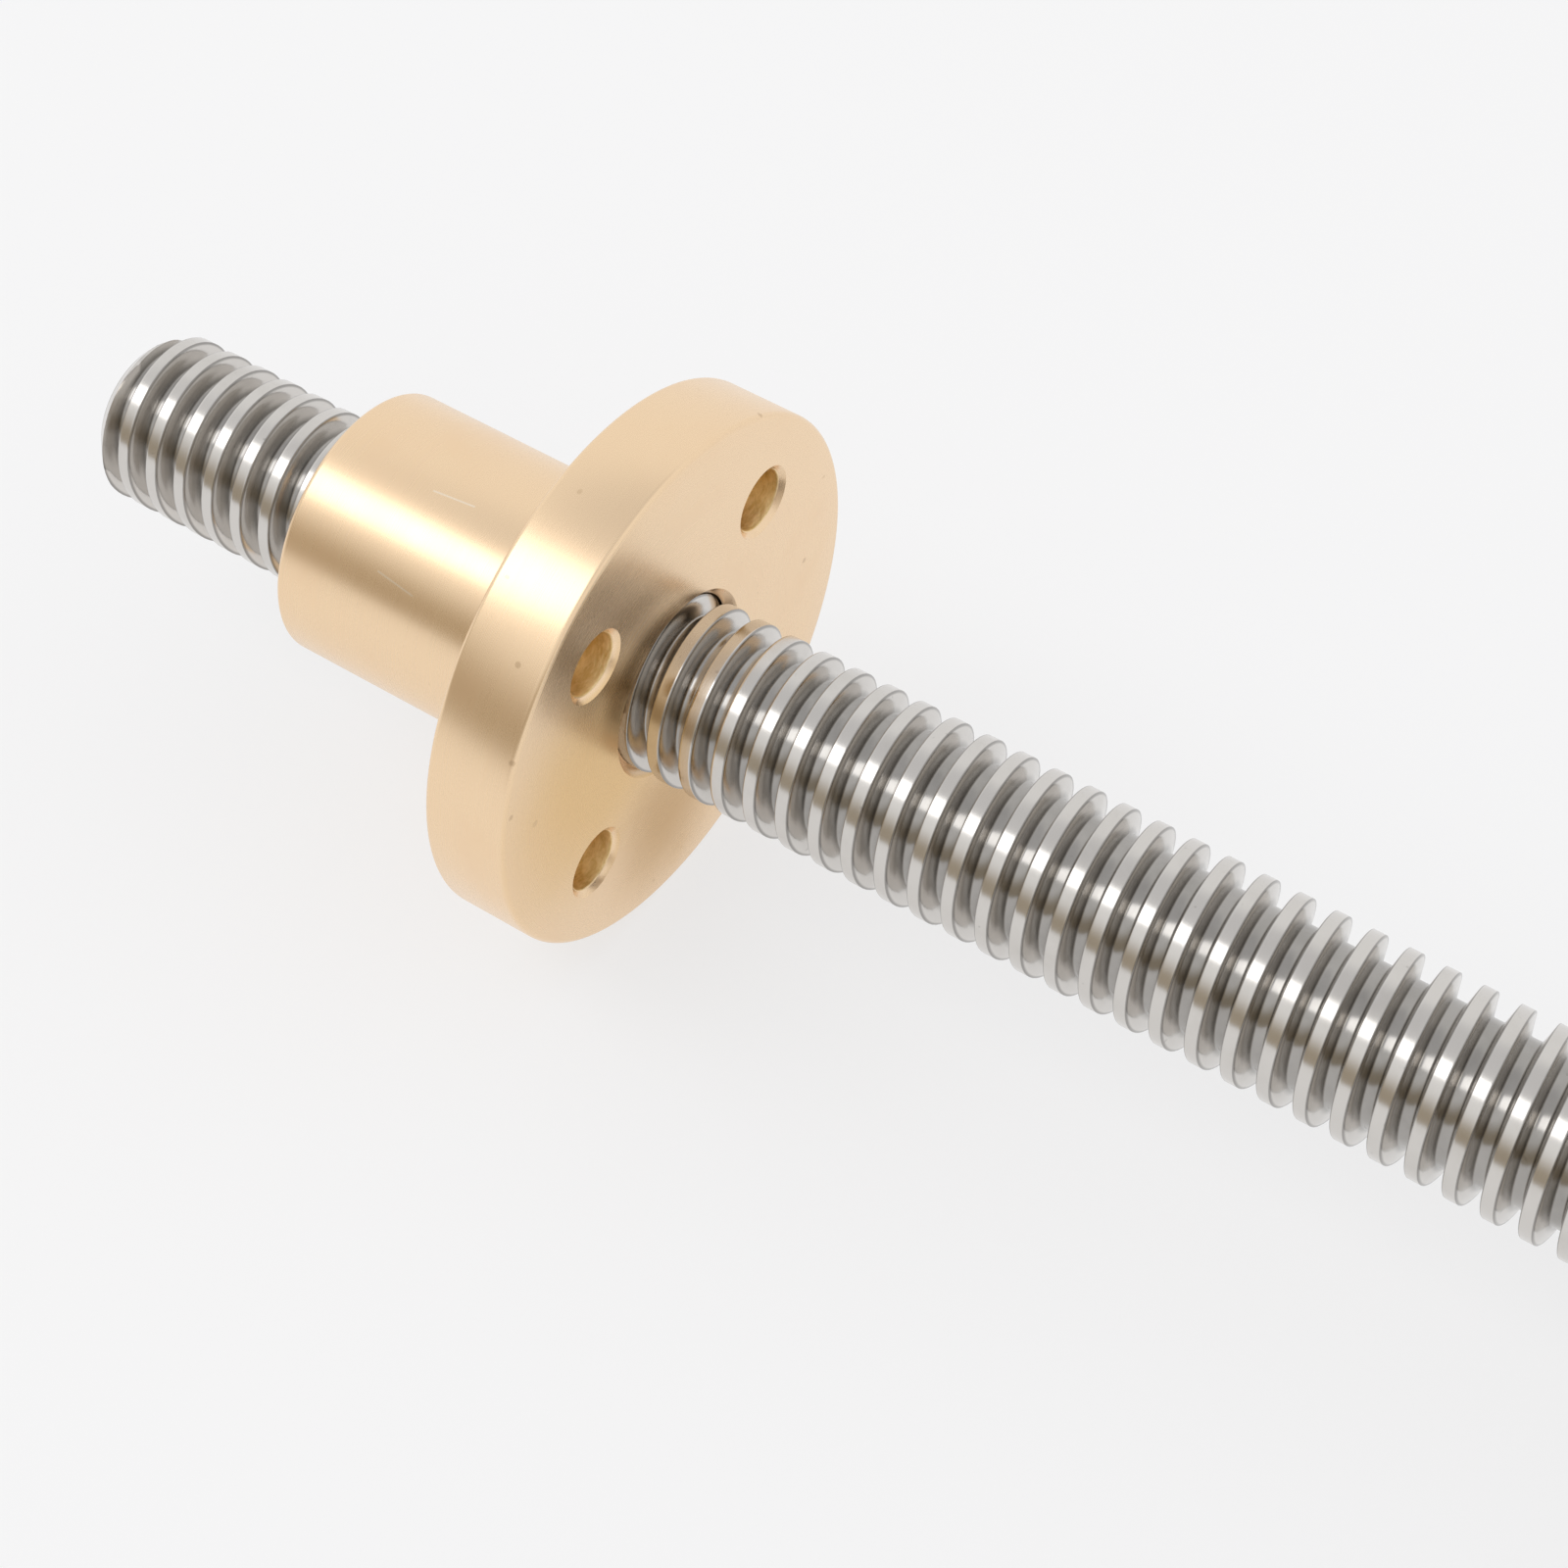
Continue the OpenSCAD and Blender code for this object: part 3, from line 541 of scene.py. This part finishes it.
def around_holes(flat, x, nut):
    """A sector's points, given as (outwards, sideways), at every hole of the flange."""
    turns = nut.turn + TURN * np.arange(nut.hole_count) / nut.hole_count
    c, s = np.cos(turns)[:, None, None], np.sin(turns)[:, None, None]
    out, side = flat[None, ..., 0], flat[None, ..., 1]
    y, z = out * c - side * s, out * s + side * c
    return np.stack([np.broadcast_to(x, y.shape), y, z], -1)


# ---- Pieces ----

class LEADSCREW_OT_screw(bpy.types.Operator):
    """Makes the rolled lead screw"""
    bl_idname = "leadscrew.screw"
    bl_label = "Lead screw"

    def execute(self, context):
        s = context.scene.screw_sizes
        crest, root = s.outer_radius, s.outer_radius - s.depth
        start, end = SCREW_BOX[0].x, SCREW_BOX[1].x
        tan = math.tan(s.flank)
        quarter = s.pitch / 4
        edge = quarter * (1 - tan)
        foot = edge + s.depth * tan
        r1, r2 = s.crest_edge, s.root_edge
        half = math.pi / 4 - s.flank / 2  # half the turn from a crest to its flank
        t1, t2 = r1 * math.tan(half), r2 * math.tan(half)
        lean, rise = math.sin(s.flank), math.cos(s.flank)
        side, fall = math.sin(half), math.cos(half)
        stations = np.array([
            0, (edge - t1) * 0.7, edge - t1, edge - t1 + r1 * side, edge + t1 * lean,
            (edge + foot) / 2, foot - t2 * lean, foot + t2 - r2 * side, foot + t2, s.pitch / 2])
        radii = np.array([
            crest, crest, crest, crest - r1 * (1 - fall), crest - t1 * rise,
            (crest + root) / 2, root + t2 * rise, root + r2 * (1 - fall), root, root])

        def limit(x, radius):
            tip = crest - s.tip_chamfer + (end - x)
            neck = root - 0.2 * MM + (x - start)
            return np.minimum(radius, np.minimum(tip, neck))

        points, quads, low, high = helical_wall(start, end, 0.0, s.sides, s,
                                                stations, radii, limit)
        low_points, low_faces = fan(low, (start, 0, 0), len(points))
        high_points, high_faces = fan(high, (end, 0, 0), len(points) + len(low_points))
        finish = rolled_steel_finish("rolled_steel", s)
        new_piece("screw_thread", np.concatenate([points, low_points, high_points]),
                  [quads, low_faces, high_faces], finish, "rotor",
                  ["lead_screw"], 40.0)
        ends = ground_steel_finish("turned_steel", (0.62, 0.61, 0.60), 0.25)
        dress("screw_journal", ends)
        return {"FINISHED"}


class LEADSCREW_OT_nut(bpy.types.Operator):
    """Makes the flanged brass nut"""
    bl_idname = "leadscrew.nut"
    bl_label = "Flanged nut"

    def execute(self, context):
        n, s = context.scene.nut_sizes, context.scene.screw_sizes
        front, end = NUT_BOX[0].x, NUT_BOX[1].x
        back = front + n.flange_thickness
        segments, spokes = 192, 12
        first = n.turn - math.pi / n.hole_count
        angles = first + TURN * np.arange(segments + 1) / segments
        mouth = n.bore_radius + n.bore_chamfer
        rim, e = n.flange_radius, n.edge

        tan = math.tan(s.flank)
        wide = s.pitch / 4 + n.clearance
        top = s.outer_radius + n.clearance
        edge = wide - (top - (s.outer_radius - s.pitch / 4)) * tan
        foot = edge + (top - n.bore_radius) * tan
        soft = 0.04 * MM
        stations = np.array([0, edge - soft, edge + soft * 0.6, (edge + foot) / 2,
                             foot - soft * 0.6, foot + soft, s.pitch / 2])
        radii = np.array([top, top, top - soft * 2, (top + n.bore_radius) / 2,
                          n.bore_radius + soft * 2, n.bore_radius, n.bore_radius])

        def limit(x, radius):
            cone = np.maximum(mouth - (x - front), mouth - (end - x))
            return np.maximum(radius, cone)

        points, faces = [], []

        def add(block, block_faces):
            faces.append(block_faces + sum(len(p) for p in points))
            points.append(block.reshape(-1, 3))

        wall, quads, _, _ = helical_wall(front, end, first, segments, s, stations, radii, limit)
        add(wall, quads)

        sink = n.hole_radius + n.countersink
        lip = 0.06 * MM
        t = n.flange_thickness
        hole_x = np.array([0, lip, n.countersink, n.countersink + lip,
                           t - n.countersink - lip, t - n.countersink, t - lip, t])
        hole_r = np.array([sink + lip, sink, n.hole_radius + lip / 2, n.hole_radius,
                           n.hole_radius, n.hole_radius + lip / 2, sink, sink + lip])
        for x, inner in ((front, mouth), (back, n.body_radius)):
            flat, ray, centre = drilled_face(inner, rim - e, n, sink + lip, segments, spokes)
            block = around_holes(flat, x, n)
            rows, columns = flat.shape[:2]
            for hole in block:
                add(hole, grid_faces(rows, columns, closed=True))
        walls = centre + hole_r[:, None, None] * ray
        for hole in around_holes(walls, (front + hole_x)[None, :, None], n):
            add(hole, grid_faces(len(hole_x), walls.shape[1], closed=True))

        flange = np.concatenate([rounded_corner(front, rim, e, 1),
                                 rounded_corner(back, rim, e, -1)])
        body = np.concatenate([[(back, n.body_radius), (back + 0.3 * MM, n.body_radius)],
                               rounded_corner(end, n.body_radius, e, -1), [(end, mouth)]])
        for section in (flange, body):
            add(revolved(section[:, 0], section[:, 1], angles),
                grid_faces(len(section), len(angles)))

        finish = brass_finish(n, brass_pits(), brass_scratches())
        new_piece("brass_nut", np.concatenate(points), faces, finish, "nut",
                  ["flange_nut"], 32.0)
        return {"FINISHED"}


class LEADSCREW_OT_castings(bpy.types.Operator):
    """Makes the cast end caps and the through screws, with eased edges"""
    bl_idname = "leadscrew.castings"
    bl_label = "End caps and through screws"

    def execute(self, context):
        looks = context.scene.motor_looks
        cast = cast_finish("cast_aluminium", tuple(looks.casting))
        eased_copy("front_cap", "front_end_cap", cast, 0.35 * MM)
        eased_copy("rear_cap", "rear_end_cap", cast, 0.35 * MM)
        dress("through_screws", ground_steel_finish("zinc_plate", (0.50, 0.49, 0.46), 0.32))
        return {"FINISHED"}


class LEADSCREW_OT_laminations(bpy.types.Operator):
    """Makes the edges of the laminations round the stack"""
    bl_idname = "leadscrew.laminations"
    bl_label = "Laminations"

    def execute(self, context):
        looks = context.scene.motor_looks
        low, high = STACK_BOX
        sheets = round((high.x - low.x) / looks.sheet)
        pitch = (high.x - low.x) / sheets
        half = high.y
        corner = 4.2 * MM
        outline = rounded_square(half, corner, 8)
        proud, groove = 0.22 * MM, 0.12 * MM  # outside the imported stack
        clear = 0.02 * MM  # from the stack's sides and ends
        slope, rise = 0.05 * MM, 0.03 * MM
        squeeze = 0.9991  # leaves the last sheet a little short of the end
        gap = looks.sheet_gap / 2
        step = np.array([0, gap, gap + slope, pitch - gap - slope, pitch - gap])
        out = np.array([groove, groove + rise, proud, proud, groove + rise])
        x = (low.x + clear + np.arange(sheets)[:, None] * pitch * squeeze + step).ravel()
        grown = np.tile(out, sheets)
        x, grown = np.append(x, high.x - clear), np.append(grown, groove)
        unit = outward(outline)
        outer = outline[None] + grown[:, None, None] * unit[None]
        inner = outline[None] + np.full((2, 1, 1), clear) * unit[None]
        rings = np.concatenate([inner[:1], outer, inner[1:], inner[:1]])
        places = np.concatenate([x[:1], x, x[-1:], x[:1]])
        points = np.concatenate([np.broadcast_to(places[:, None, None], rings.shape[:2] + (1,)),
                                 rings], -1)
        rows, columns = rings.shape[:2]
        finish = painted_finish("painted_laminations", tuple(looks.black))
        new_piece("lamination_edges", points, [grid_faces(rows, columns, closed=True)], finish,
                  "motor")
        dress("stator_stack", painted_finish("stack_steel", (0.05, 0.05, 0.055), 0.5))
        return {"FINISHED"}


def rounded_square(half, corner, steps):
    """Points round a square with rounded corners, as (y, z)."""
    t = np.linspace(0, math.pi / 2, steps + 1)
    quarter = half - corner + corner * np.stack([np.cos(t), np.sin(t)], -1)
    turns = [(1, 0), (0, 1), (-1, 0), (0, -1)]
    return np.concatenate([quarter @ np.array([[c, s], [-s, c]]) for c, s in turns])


def outward(outline):
    """Unit vectors square to a closed outline of points, away from its middle."""
    along = np.roll(outline, -1, 0) - np.roll(outline, 1, 0)
    normal = np.stack([along[:, 1], -along[:, 0]], -1)
    normal /= np.linalg.norm(normal, axis=1)[:, None]
    return normal * np.sign((normal * outline).sum(1))[:, None]


class LEADSCREW_OT_connector(bpy.types.Operator):
    """Finishes the connector, its pins and the terminal board"""
    bl_idname = "leadscrew.connector"
    bl_label = "Connector"

    def execute(self, context):
        looks = context.scene.motor_looks
        plastic = moulded_finish("connector_plastic", tuple(looks.plastic))
        eased_copy("connector_housing", "connector_shell", plastic, 0.15 * MM)
        dress("connector_pins", ground_steel_finish("tinned_pins", (0.78, 0.76, 0.68), 0.22))
        dress("terminal_board", moulded_finish("solder_mask", (0.03, 0.16, 0.07), 0.3))
        return {"FINISHED"}


class LEADSCREW_OT_inside(bpy.types.Operator):
    """Finishes the windings, insulators, rotor and bearings"""
    bl_idname = "leadscrew.inside"
    bl_label = "Windings, rotor and bearings"

    def execute(self, context):
        looks = context.scene.motor_looks
        plastic = moulded_finish("insulator_plastic", tuple(looks.plastic), 0.5)
        copper = winding_finish("enamelled_wire", (0.62, 0.27, 0.12))
        steel = ground_steel_finish("bearing_steel", (0.66, 0.66, 0.66), 0.15)
        iron = painted_finish("rotor_iron", (0.09, 0.09, 0.095), 0.45)
        finishes = {
            "front_insulator": plastic, "rear_insulator": plastic,
            "phase_a_coils": copper, "phase_b_coils": copper,
            "rotor_cup_front": iron, "rotor_cup_rear": iron,
            "rotor_magnet": cast_finish("sintered_magnet", (0.10, 0.10, 0.11)),
            "spring_washer": steel,
        }
        turned = ground_steel_finish("spacer_steel", (0.60, 0.59, 0.57), 0.3)
        cage = ground_steel_finish("pressed_cage", (0.72, 0.52, 0.24), 0.35)
        finishes.update({name: turned for name in ("front_spacer", "rear_spacer")})
        for end in ("front", "rear"):
            finishes[f"{end}_bearing_cage"] = cage
            for piece in ("outer", "shields", "inner", "balls"):
                finishes[f"{end}_bearing_{piece}"] = steel
        for node, finish in finishes.items():
            dress(node, finish)
        return {"FINISHED"}


def dress(node, material):
    """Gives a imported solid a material, with its shape as it is."""
    mesh = frame["nodes"][node].data
    mesh.materials.clear()
    mesh.materials.append(material)


def eased_copy(node, name, material, width):
    """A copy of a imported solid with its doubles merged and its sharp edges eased."""
    source = frame["nodes"][node]
    mesh = source.data.copy()
    mesh.name = name
    b = bmesh.new()
    b.from_mesh(mesh)
    bmesh.ops.remove_doubles(b, verts=b.verts, dist=1e-6)
    bmesh.ops.dissolve_limit(b, angle_limit=math.radians(0.5), verts=b.verts, edges=b.edges)
    b.to_mesh(mesh)
    b.free()
    mesh.materials.clear()
    mesh.materials.append(material)
    made = bpy.data.objects.new(name, mesh)
    bpy.context.scene.collection.objects.link(made)
    bevel = made.modifiers.new("eased edges", "BEVEL")
    bevel.width, bevel.segments = width, 2
    bevel.limit_method, bevel.angle_limit = "ANGLE", math.radians(40)
    mesh.polygons.foreach_set("use_smooth", [True] * len(mesh.polygons))
    mesh.set_sharp_from_angle(angle=math.radians(30))
    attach(made, source["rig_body"])
    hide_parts(node)
    return made


# ---- Stage ----

class LEADSCREW_OT_stage(bpy.types.Operator):
    """Sets the camera, the floor, the lamp and the room"""
    bl_idname = "leadscrew.stage"
    bl_label = "Stage"

    def execute(self, context):
        looks = context.scene.stage_looks
        set_camera(looks)
        lay_floor(looks)
        hang_softbox(looks)
        light_room(looks)
        context.scene.view_settings.view_transform = "Standard"
        return {"FINISHED"}


def set_camera(looks):
    data = bpy.data.cameras.new("camera")
    data.sensor_fit, data.sensor_width, data.lens = "AUTO", 36.0, looks.lens
    data.clip_start, data.clip_end = 0.01, 50.0
    camera = bpy.data.objects.new("camera", data)
    bpy.context.scene.collection.objects.link(camera)
    a, e = looks.azimuth, looks.elevation
    back = Vector((math.sin(a) * math.cos(e), -math.cos(a) * math.cos(e), math.sin(e)))
    right = Vector((0, 0, 1)).cross(back).normalized()
    up = back.cross(right)
    turn = Matrix((right, up, back)).transposed().to_4x4()
    camera.matrix_world = Matrix.Translation(Vector(looks.aim) + looks.distance * back) @ turn
    bpy.context.scene.camera = camera
    bpy.context.view_layer.update()


def lay_floor(looks):
    """One white sheet: level under the nut, with a step down to the level under the motor, and painted
    shade on the far sheet in front.
    """
    far = 6.0
    top, low, x = looks.nut_level, looks.motor_level, looks.step_x
    t = np.linspace(0, math.pi / 2, 9)
    r = 1.2 * MM
    fall = [(x - r * 0.4, low), (x, low), (x, top - r)]
    bend = [(x + r * (1 - math.cos(a)), top - r + r * math.sin(a)) for a in t]
    section = np.array([(-far, low)] + fall + bend + [(far, top)])
    y = np.array([-far, -0.5, 0.0, 0.5, far])
    grid = np.stack([np.broadcast_to(section[:, :1], (len(section), len(y))),
                     np.broadcast_to(y, (len(section), len(y))),
                     np.broadcast_to(section[:, 1:], (len(section), len(y)))], -1)
    f = Finish("white_sheet")
    cloud = f.noise(f.point, 9.0, 3.0)
    fibre = f.noise(f.point, 1800.0, 2.0)
    sheet = f.mix(cloud * 0.5, tuple(looks.floor), tuple(0.985 * c for c in looks.floor))
    # Painted shade on the sheet in front, grey towards +Y
    sheet = f.mix(f.band(f.part(f.point, "Y"), 0.25, 1.2), sheet, tuple(looks.shaded_far_floor))
    rays = [f.node("ShaderNodeLightPath", output=f"Is {kind} Ray")
            for kind in ("Camera", "Glossy", "Transmission")]
    veil = rays[0].math("MAXIMUM", rays[1]).math("MAXIMUM", rays[2]) * looks.veil
    material = f.set(Base_Color=f.mix(veil, sheet, (0, 0, 0)),
                     Emission_Color=f.mix(veil, (0, 0, 0), sheet), Emission_Strength=1.0,
                     Roughness=0.9, Specular_IOR_Level=0.15,
                     Normal=f.bump(fibre, 0.01 * MM, 0.3))
    mesh = bpy.data.meshes.new("floor")
    mesh.from_pydata(grid.reshape(-1, 3).tolist(), [], grid_faces(len(section), len(y)).tolist())
    mesh.materials.append(material)
    mesh.polygons.foreach_set("use_smooth", [True] * len(mesh.polygons))
    mesh.set_sharp_from_angle(angle=math.radians(35))
    floor = bpy.data.objects.new("floor", mesh)
    bpy.context.scene.collection.objects.link(floor)


def hang_softbox(looks):
    """A large lamp up where the camera's view is mirrored across the screw."""
    under = Vector((0.11, 0, 0))  # the place on the screw that it faces
    away, long, wide = 0.9, 0.95, 0.32
    towards = Vector((0.355, 0.375, 0.856)).normalized()
    data = bpy.data.lights.new("softbox", "AREA")
    data.shape, data.size, data.size_y = "RECTANGLE", long, wide
    data.energy = looks.softbox * math.pi * long * wide
    lamp = bpy.data.objects.new("softbox", data)
    bpy.context.scene.collection.objects.link(lamp)
    side = towards.cross(Vector((1, 0, 0))).normalized()
    along = side.cross(towards)
    turn = Matrix((along, side, towards)).transposed().to_4x4()
    lamp.matrix_world = Matrix.Translation(under + away * towards) @ turn


def light_room(looks):
    """The room: pale all round, a little darker overhead, and dark low down in front."""
    world = bpy.data.worlds.new("room")
    bpy.context.scene.world = world
    world.use_nodes = True
    tree = world.node_tree
    f = Finish("room", tree)
    towards = f.node("ShaderNodeTexCoord", output="Generated")
    up, front = f.part(towards, "Z"), f.part(towards, "Y")
    shade = f.mix(f.band(up, 0.72, 0.92), tuple(looks.walls), tuple(looks.ceiling))
    low = f.band(up, 0.22, 0.66, 1.0, 0.0) * f.band(front, 0.1, 0.75)
    shade = f.mix(low, shade, tuple(looks.front))
    background = tree.nodes["Background"]
    tree.links.new(shade.socket, background.inputs["Color"])
    background.inputs["Strength"].default_value = 1.0


# ---- Image points ----

PHOTO = 1568.0  # side of the picture in which the points below are given
PITS = {"pit_1": (518.0, 665.0), "pit_2": (759.5, 415.5), "pit_3": (804.1, 560.4),
        "pit_4": (512.2, 763.0), "pit_5": (511.0, 817.8)}
SCRATCHES = {"scratch_1": ((434.1, 491.0), (474.3, 506.7)),
             "scratch_2": ((378.3, 571.3), (412.0, 595.8))}


def on_surface(x, y, tree):
    """Where the ray through a picture point meets a surface, or the place nearest the ray."""
    camera = bpy.context.scene.camera
    data = camera.data
    ray = Vector((x - PHOTO / 2 + data.shift_x * PHOTO, PHOTO / 2 - y + data.shift_y * PHOTO,
                  -PHOTO * data.lens / data.sensor_width))
    start = camera.matrix_world.translation
    ray = (camera.matrix_world.to_3x3() @ ray).normalized()
    place = tree.ray_cast(start, ray)[0]
    if place is None:
        nearest, farthest, tries = 0.1, 0.6, 251
        steps = [start + ray * d for d in np.linspace(nearest, farthest, tries)]
        place = min((tree.find_nearest(p) for p in steps), key=lambda hit: hit[3])[0]
    return place


def node_tree_of(name):
    """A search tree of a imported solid's own triangles."""
    mesh = frame["nodes"][name].data
    return BVHTree.FromPolygons([v.co for v in mesh.vertices],
                                [p.vertices for p in mesh.polygons])


def brass_pits():
    tree = node_tree_of("flange_nut")
    return [(tuple(on_surface(*place, tree)), 0.28 * MM) for place in PITS.values()]


def brass_scratches():
    tree = node_tree_of("flange_nut")
    return [(tuple(on_surface(*first, tree)), tuple(on_surface(*last, tree)), 0.09 * MM)
            for first, last in SCRATCHES.values()]


def in_picture(places):
    """Where points in the part's frame show in the picture, as rows of x and y."""
    camera = bpy.context.scene.camera
    data = camera.data
    inverse = np.array(camera.matrix_world.inverted())
    seen = places @ inverse[:3, :3].T + inverse[:3, 3]
    scale = PHOTO * data.lens / data.sensor_width / -seen[:, 2]
    return np.stack([PHOTO / 2 + seen[:, 0] * scale - data.shift_x * PHOTO,
                     PHOTO / 2 - seen[:, 1] * scale + data.shift_y * PHOTO], -1)


def vertices_of(name):
    mesh = bpy.data.objects[name].data
    places = np.empty(len(mesh.vertices) * 3)
    mesh.vertices.foreach_get("co", places)
    return places.reshape(-1, 3)


def write_points():
    """Projects the vertices that show the edges of the flange, the body, the screw and the hole mouths
    into the picture; it writes nothing and returns nothing.
    """
    nut, screw = vertices_of("brass_nut"), vertices_of("screw_thread")
    sizes = bpy.context.scene.nut_sizes
    front = NUT_BOX[0].x
    radius = np.hypot(nut[:, 1], nut[:, 2])
    flange = in_picture(nut[radius > sizes.body_radius + 1 * MM])
    behind = nut[:, 0] > front + sizes.flange_thickness + 1 * MM
    body = in_picture(nut[behind & (radius < sizes.body_radius + 0.1 * MM)])
    thread = in_picture(screw)

    for name, hole in (("hole_lower", 3), ("hole_middle", 0), ("hole_upper", 1)):
        turn = sizes.turn + TURN * hole / sizes.hole_count
        centre = sizes.hole_circle * np.array([math.cos(turn), math.sin(turn)])
        ring = np.hypot(nut[:, 1] - centre[0], nut[:, 2] - centre[1])
        mouth = nut[(ring < sizes.hole_radius + sizes.countersink + 0.1 * MM)
                    & (nut[:, 0] < front + 0.01 * MM)]
        seen = in_picture(mouth)
    ends = in_picture(np.array([[0.06, 0, 0], [0.12, 0, 0]]))


# ---- Add-on ----

class LEADSCREW_PT_panel(bpy.types.Panel):
    """Lists the pieces and the stage"""
    bl_idname = "LEADSCREW_PT_panel"
    bl_label = "Lead screw motor"
    bl_space_type = "VIEW_3D"
    bl_region_type = "UI"
    bl_category = "Lead screw"

    def draw(self, context):
        for operator in OPERATORS:
            self.layout.operator(operator.bl_idname)


GROUPS = {"screw_sizes": ScrewSizes, "nut_sizes": NutSizes, "motor_looks": MotorLooks,
          "stage_looks": StageLooks}
OPERATORS = (LEADSCREW_OT_stage, LEADSCREW_OT_screw, LEADSCREW_OT_nut, LEADSCREW_OT_castings,
             LEADSCREW_OT_laminations, LEADSCREW_OT_connector, LEADSCREW_OT_inside)


def register():
    for kind in (*GROUPS.values(), *OPERATORS, LEADSCREW_PT_panel):
        bpy.utils.register_class(kind)
    for name, group in GROUPS.items():
        setattr(bpy.types.Scene, name, PointerProperty(type=group))


def unregister():
    for name in GROUPS:
        delattr(bpy.types.Scene, name)
    for kind in (LEADSCREW_PT_panel, *reversed(OPERATORS), *reversed(GROUPS.values())):
        bpy.utils.unregister_class(kind)


def main():
    register()
    bpy.ops.leadscrew.stage()
    bpy.ops.leadscrew.screw()
    bpy.ops.leadscrew.nut()
    bpy.ops.leadscrew.castings()
    bpy.ops.leadscrew.laminations()
    bpy.ops.leadscrew.connector()
    bpy.ops.leadscrew.inside()
    write_points()


if __name__ == "__main__":
    main()
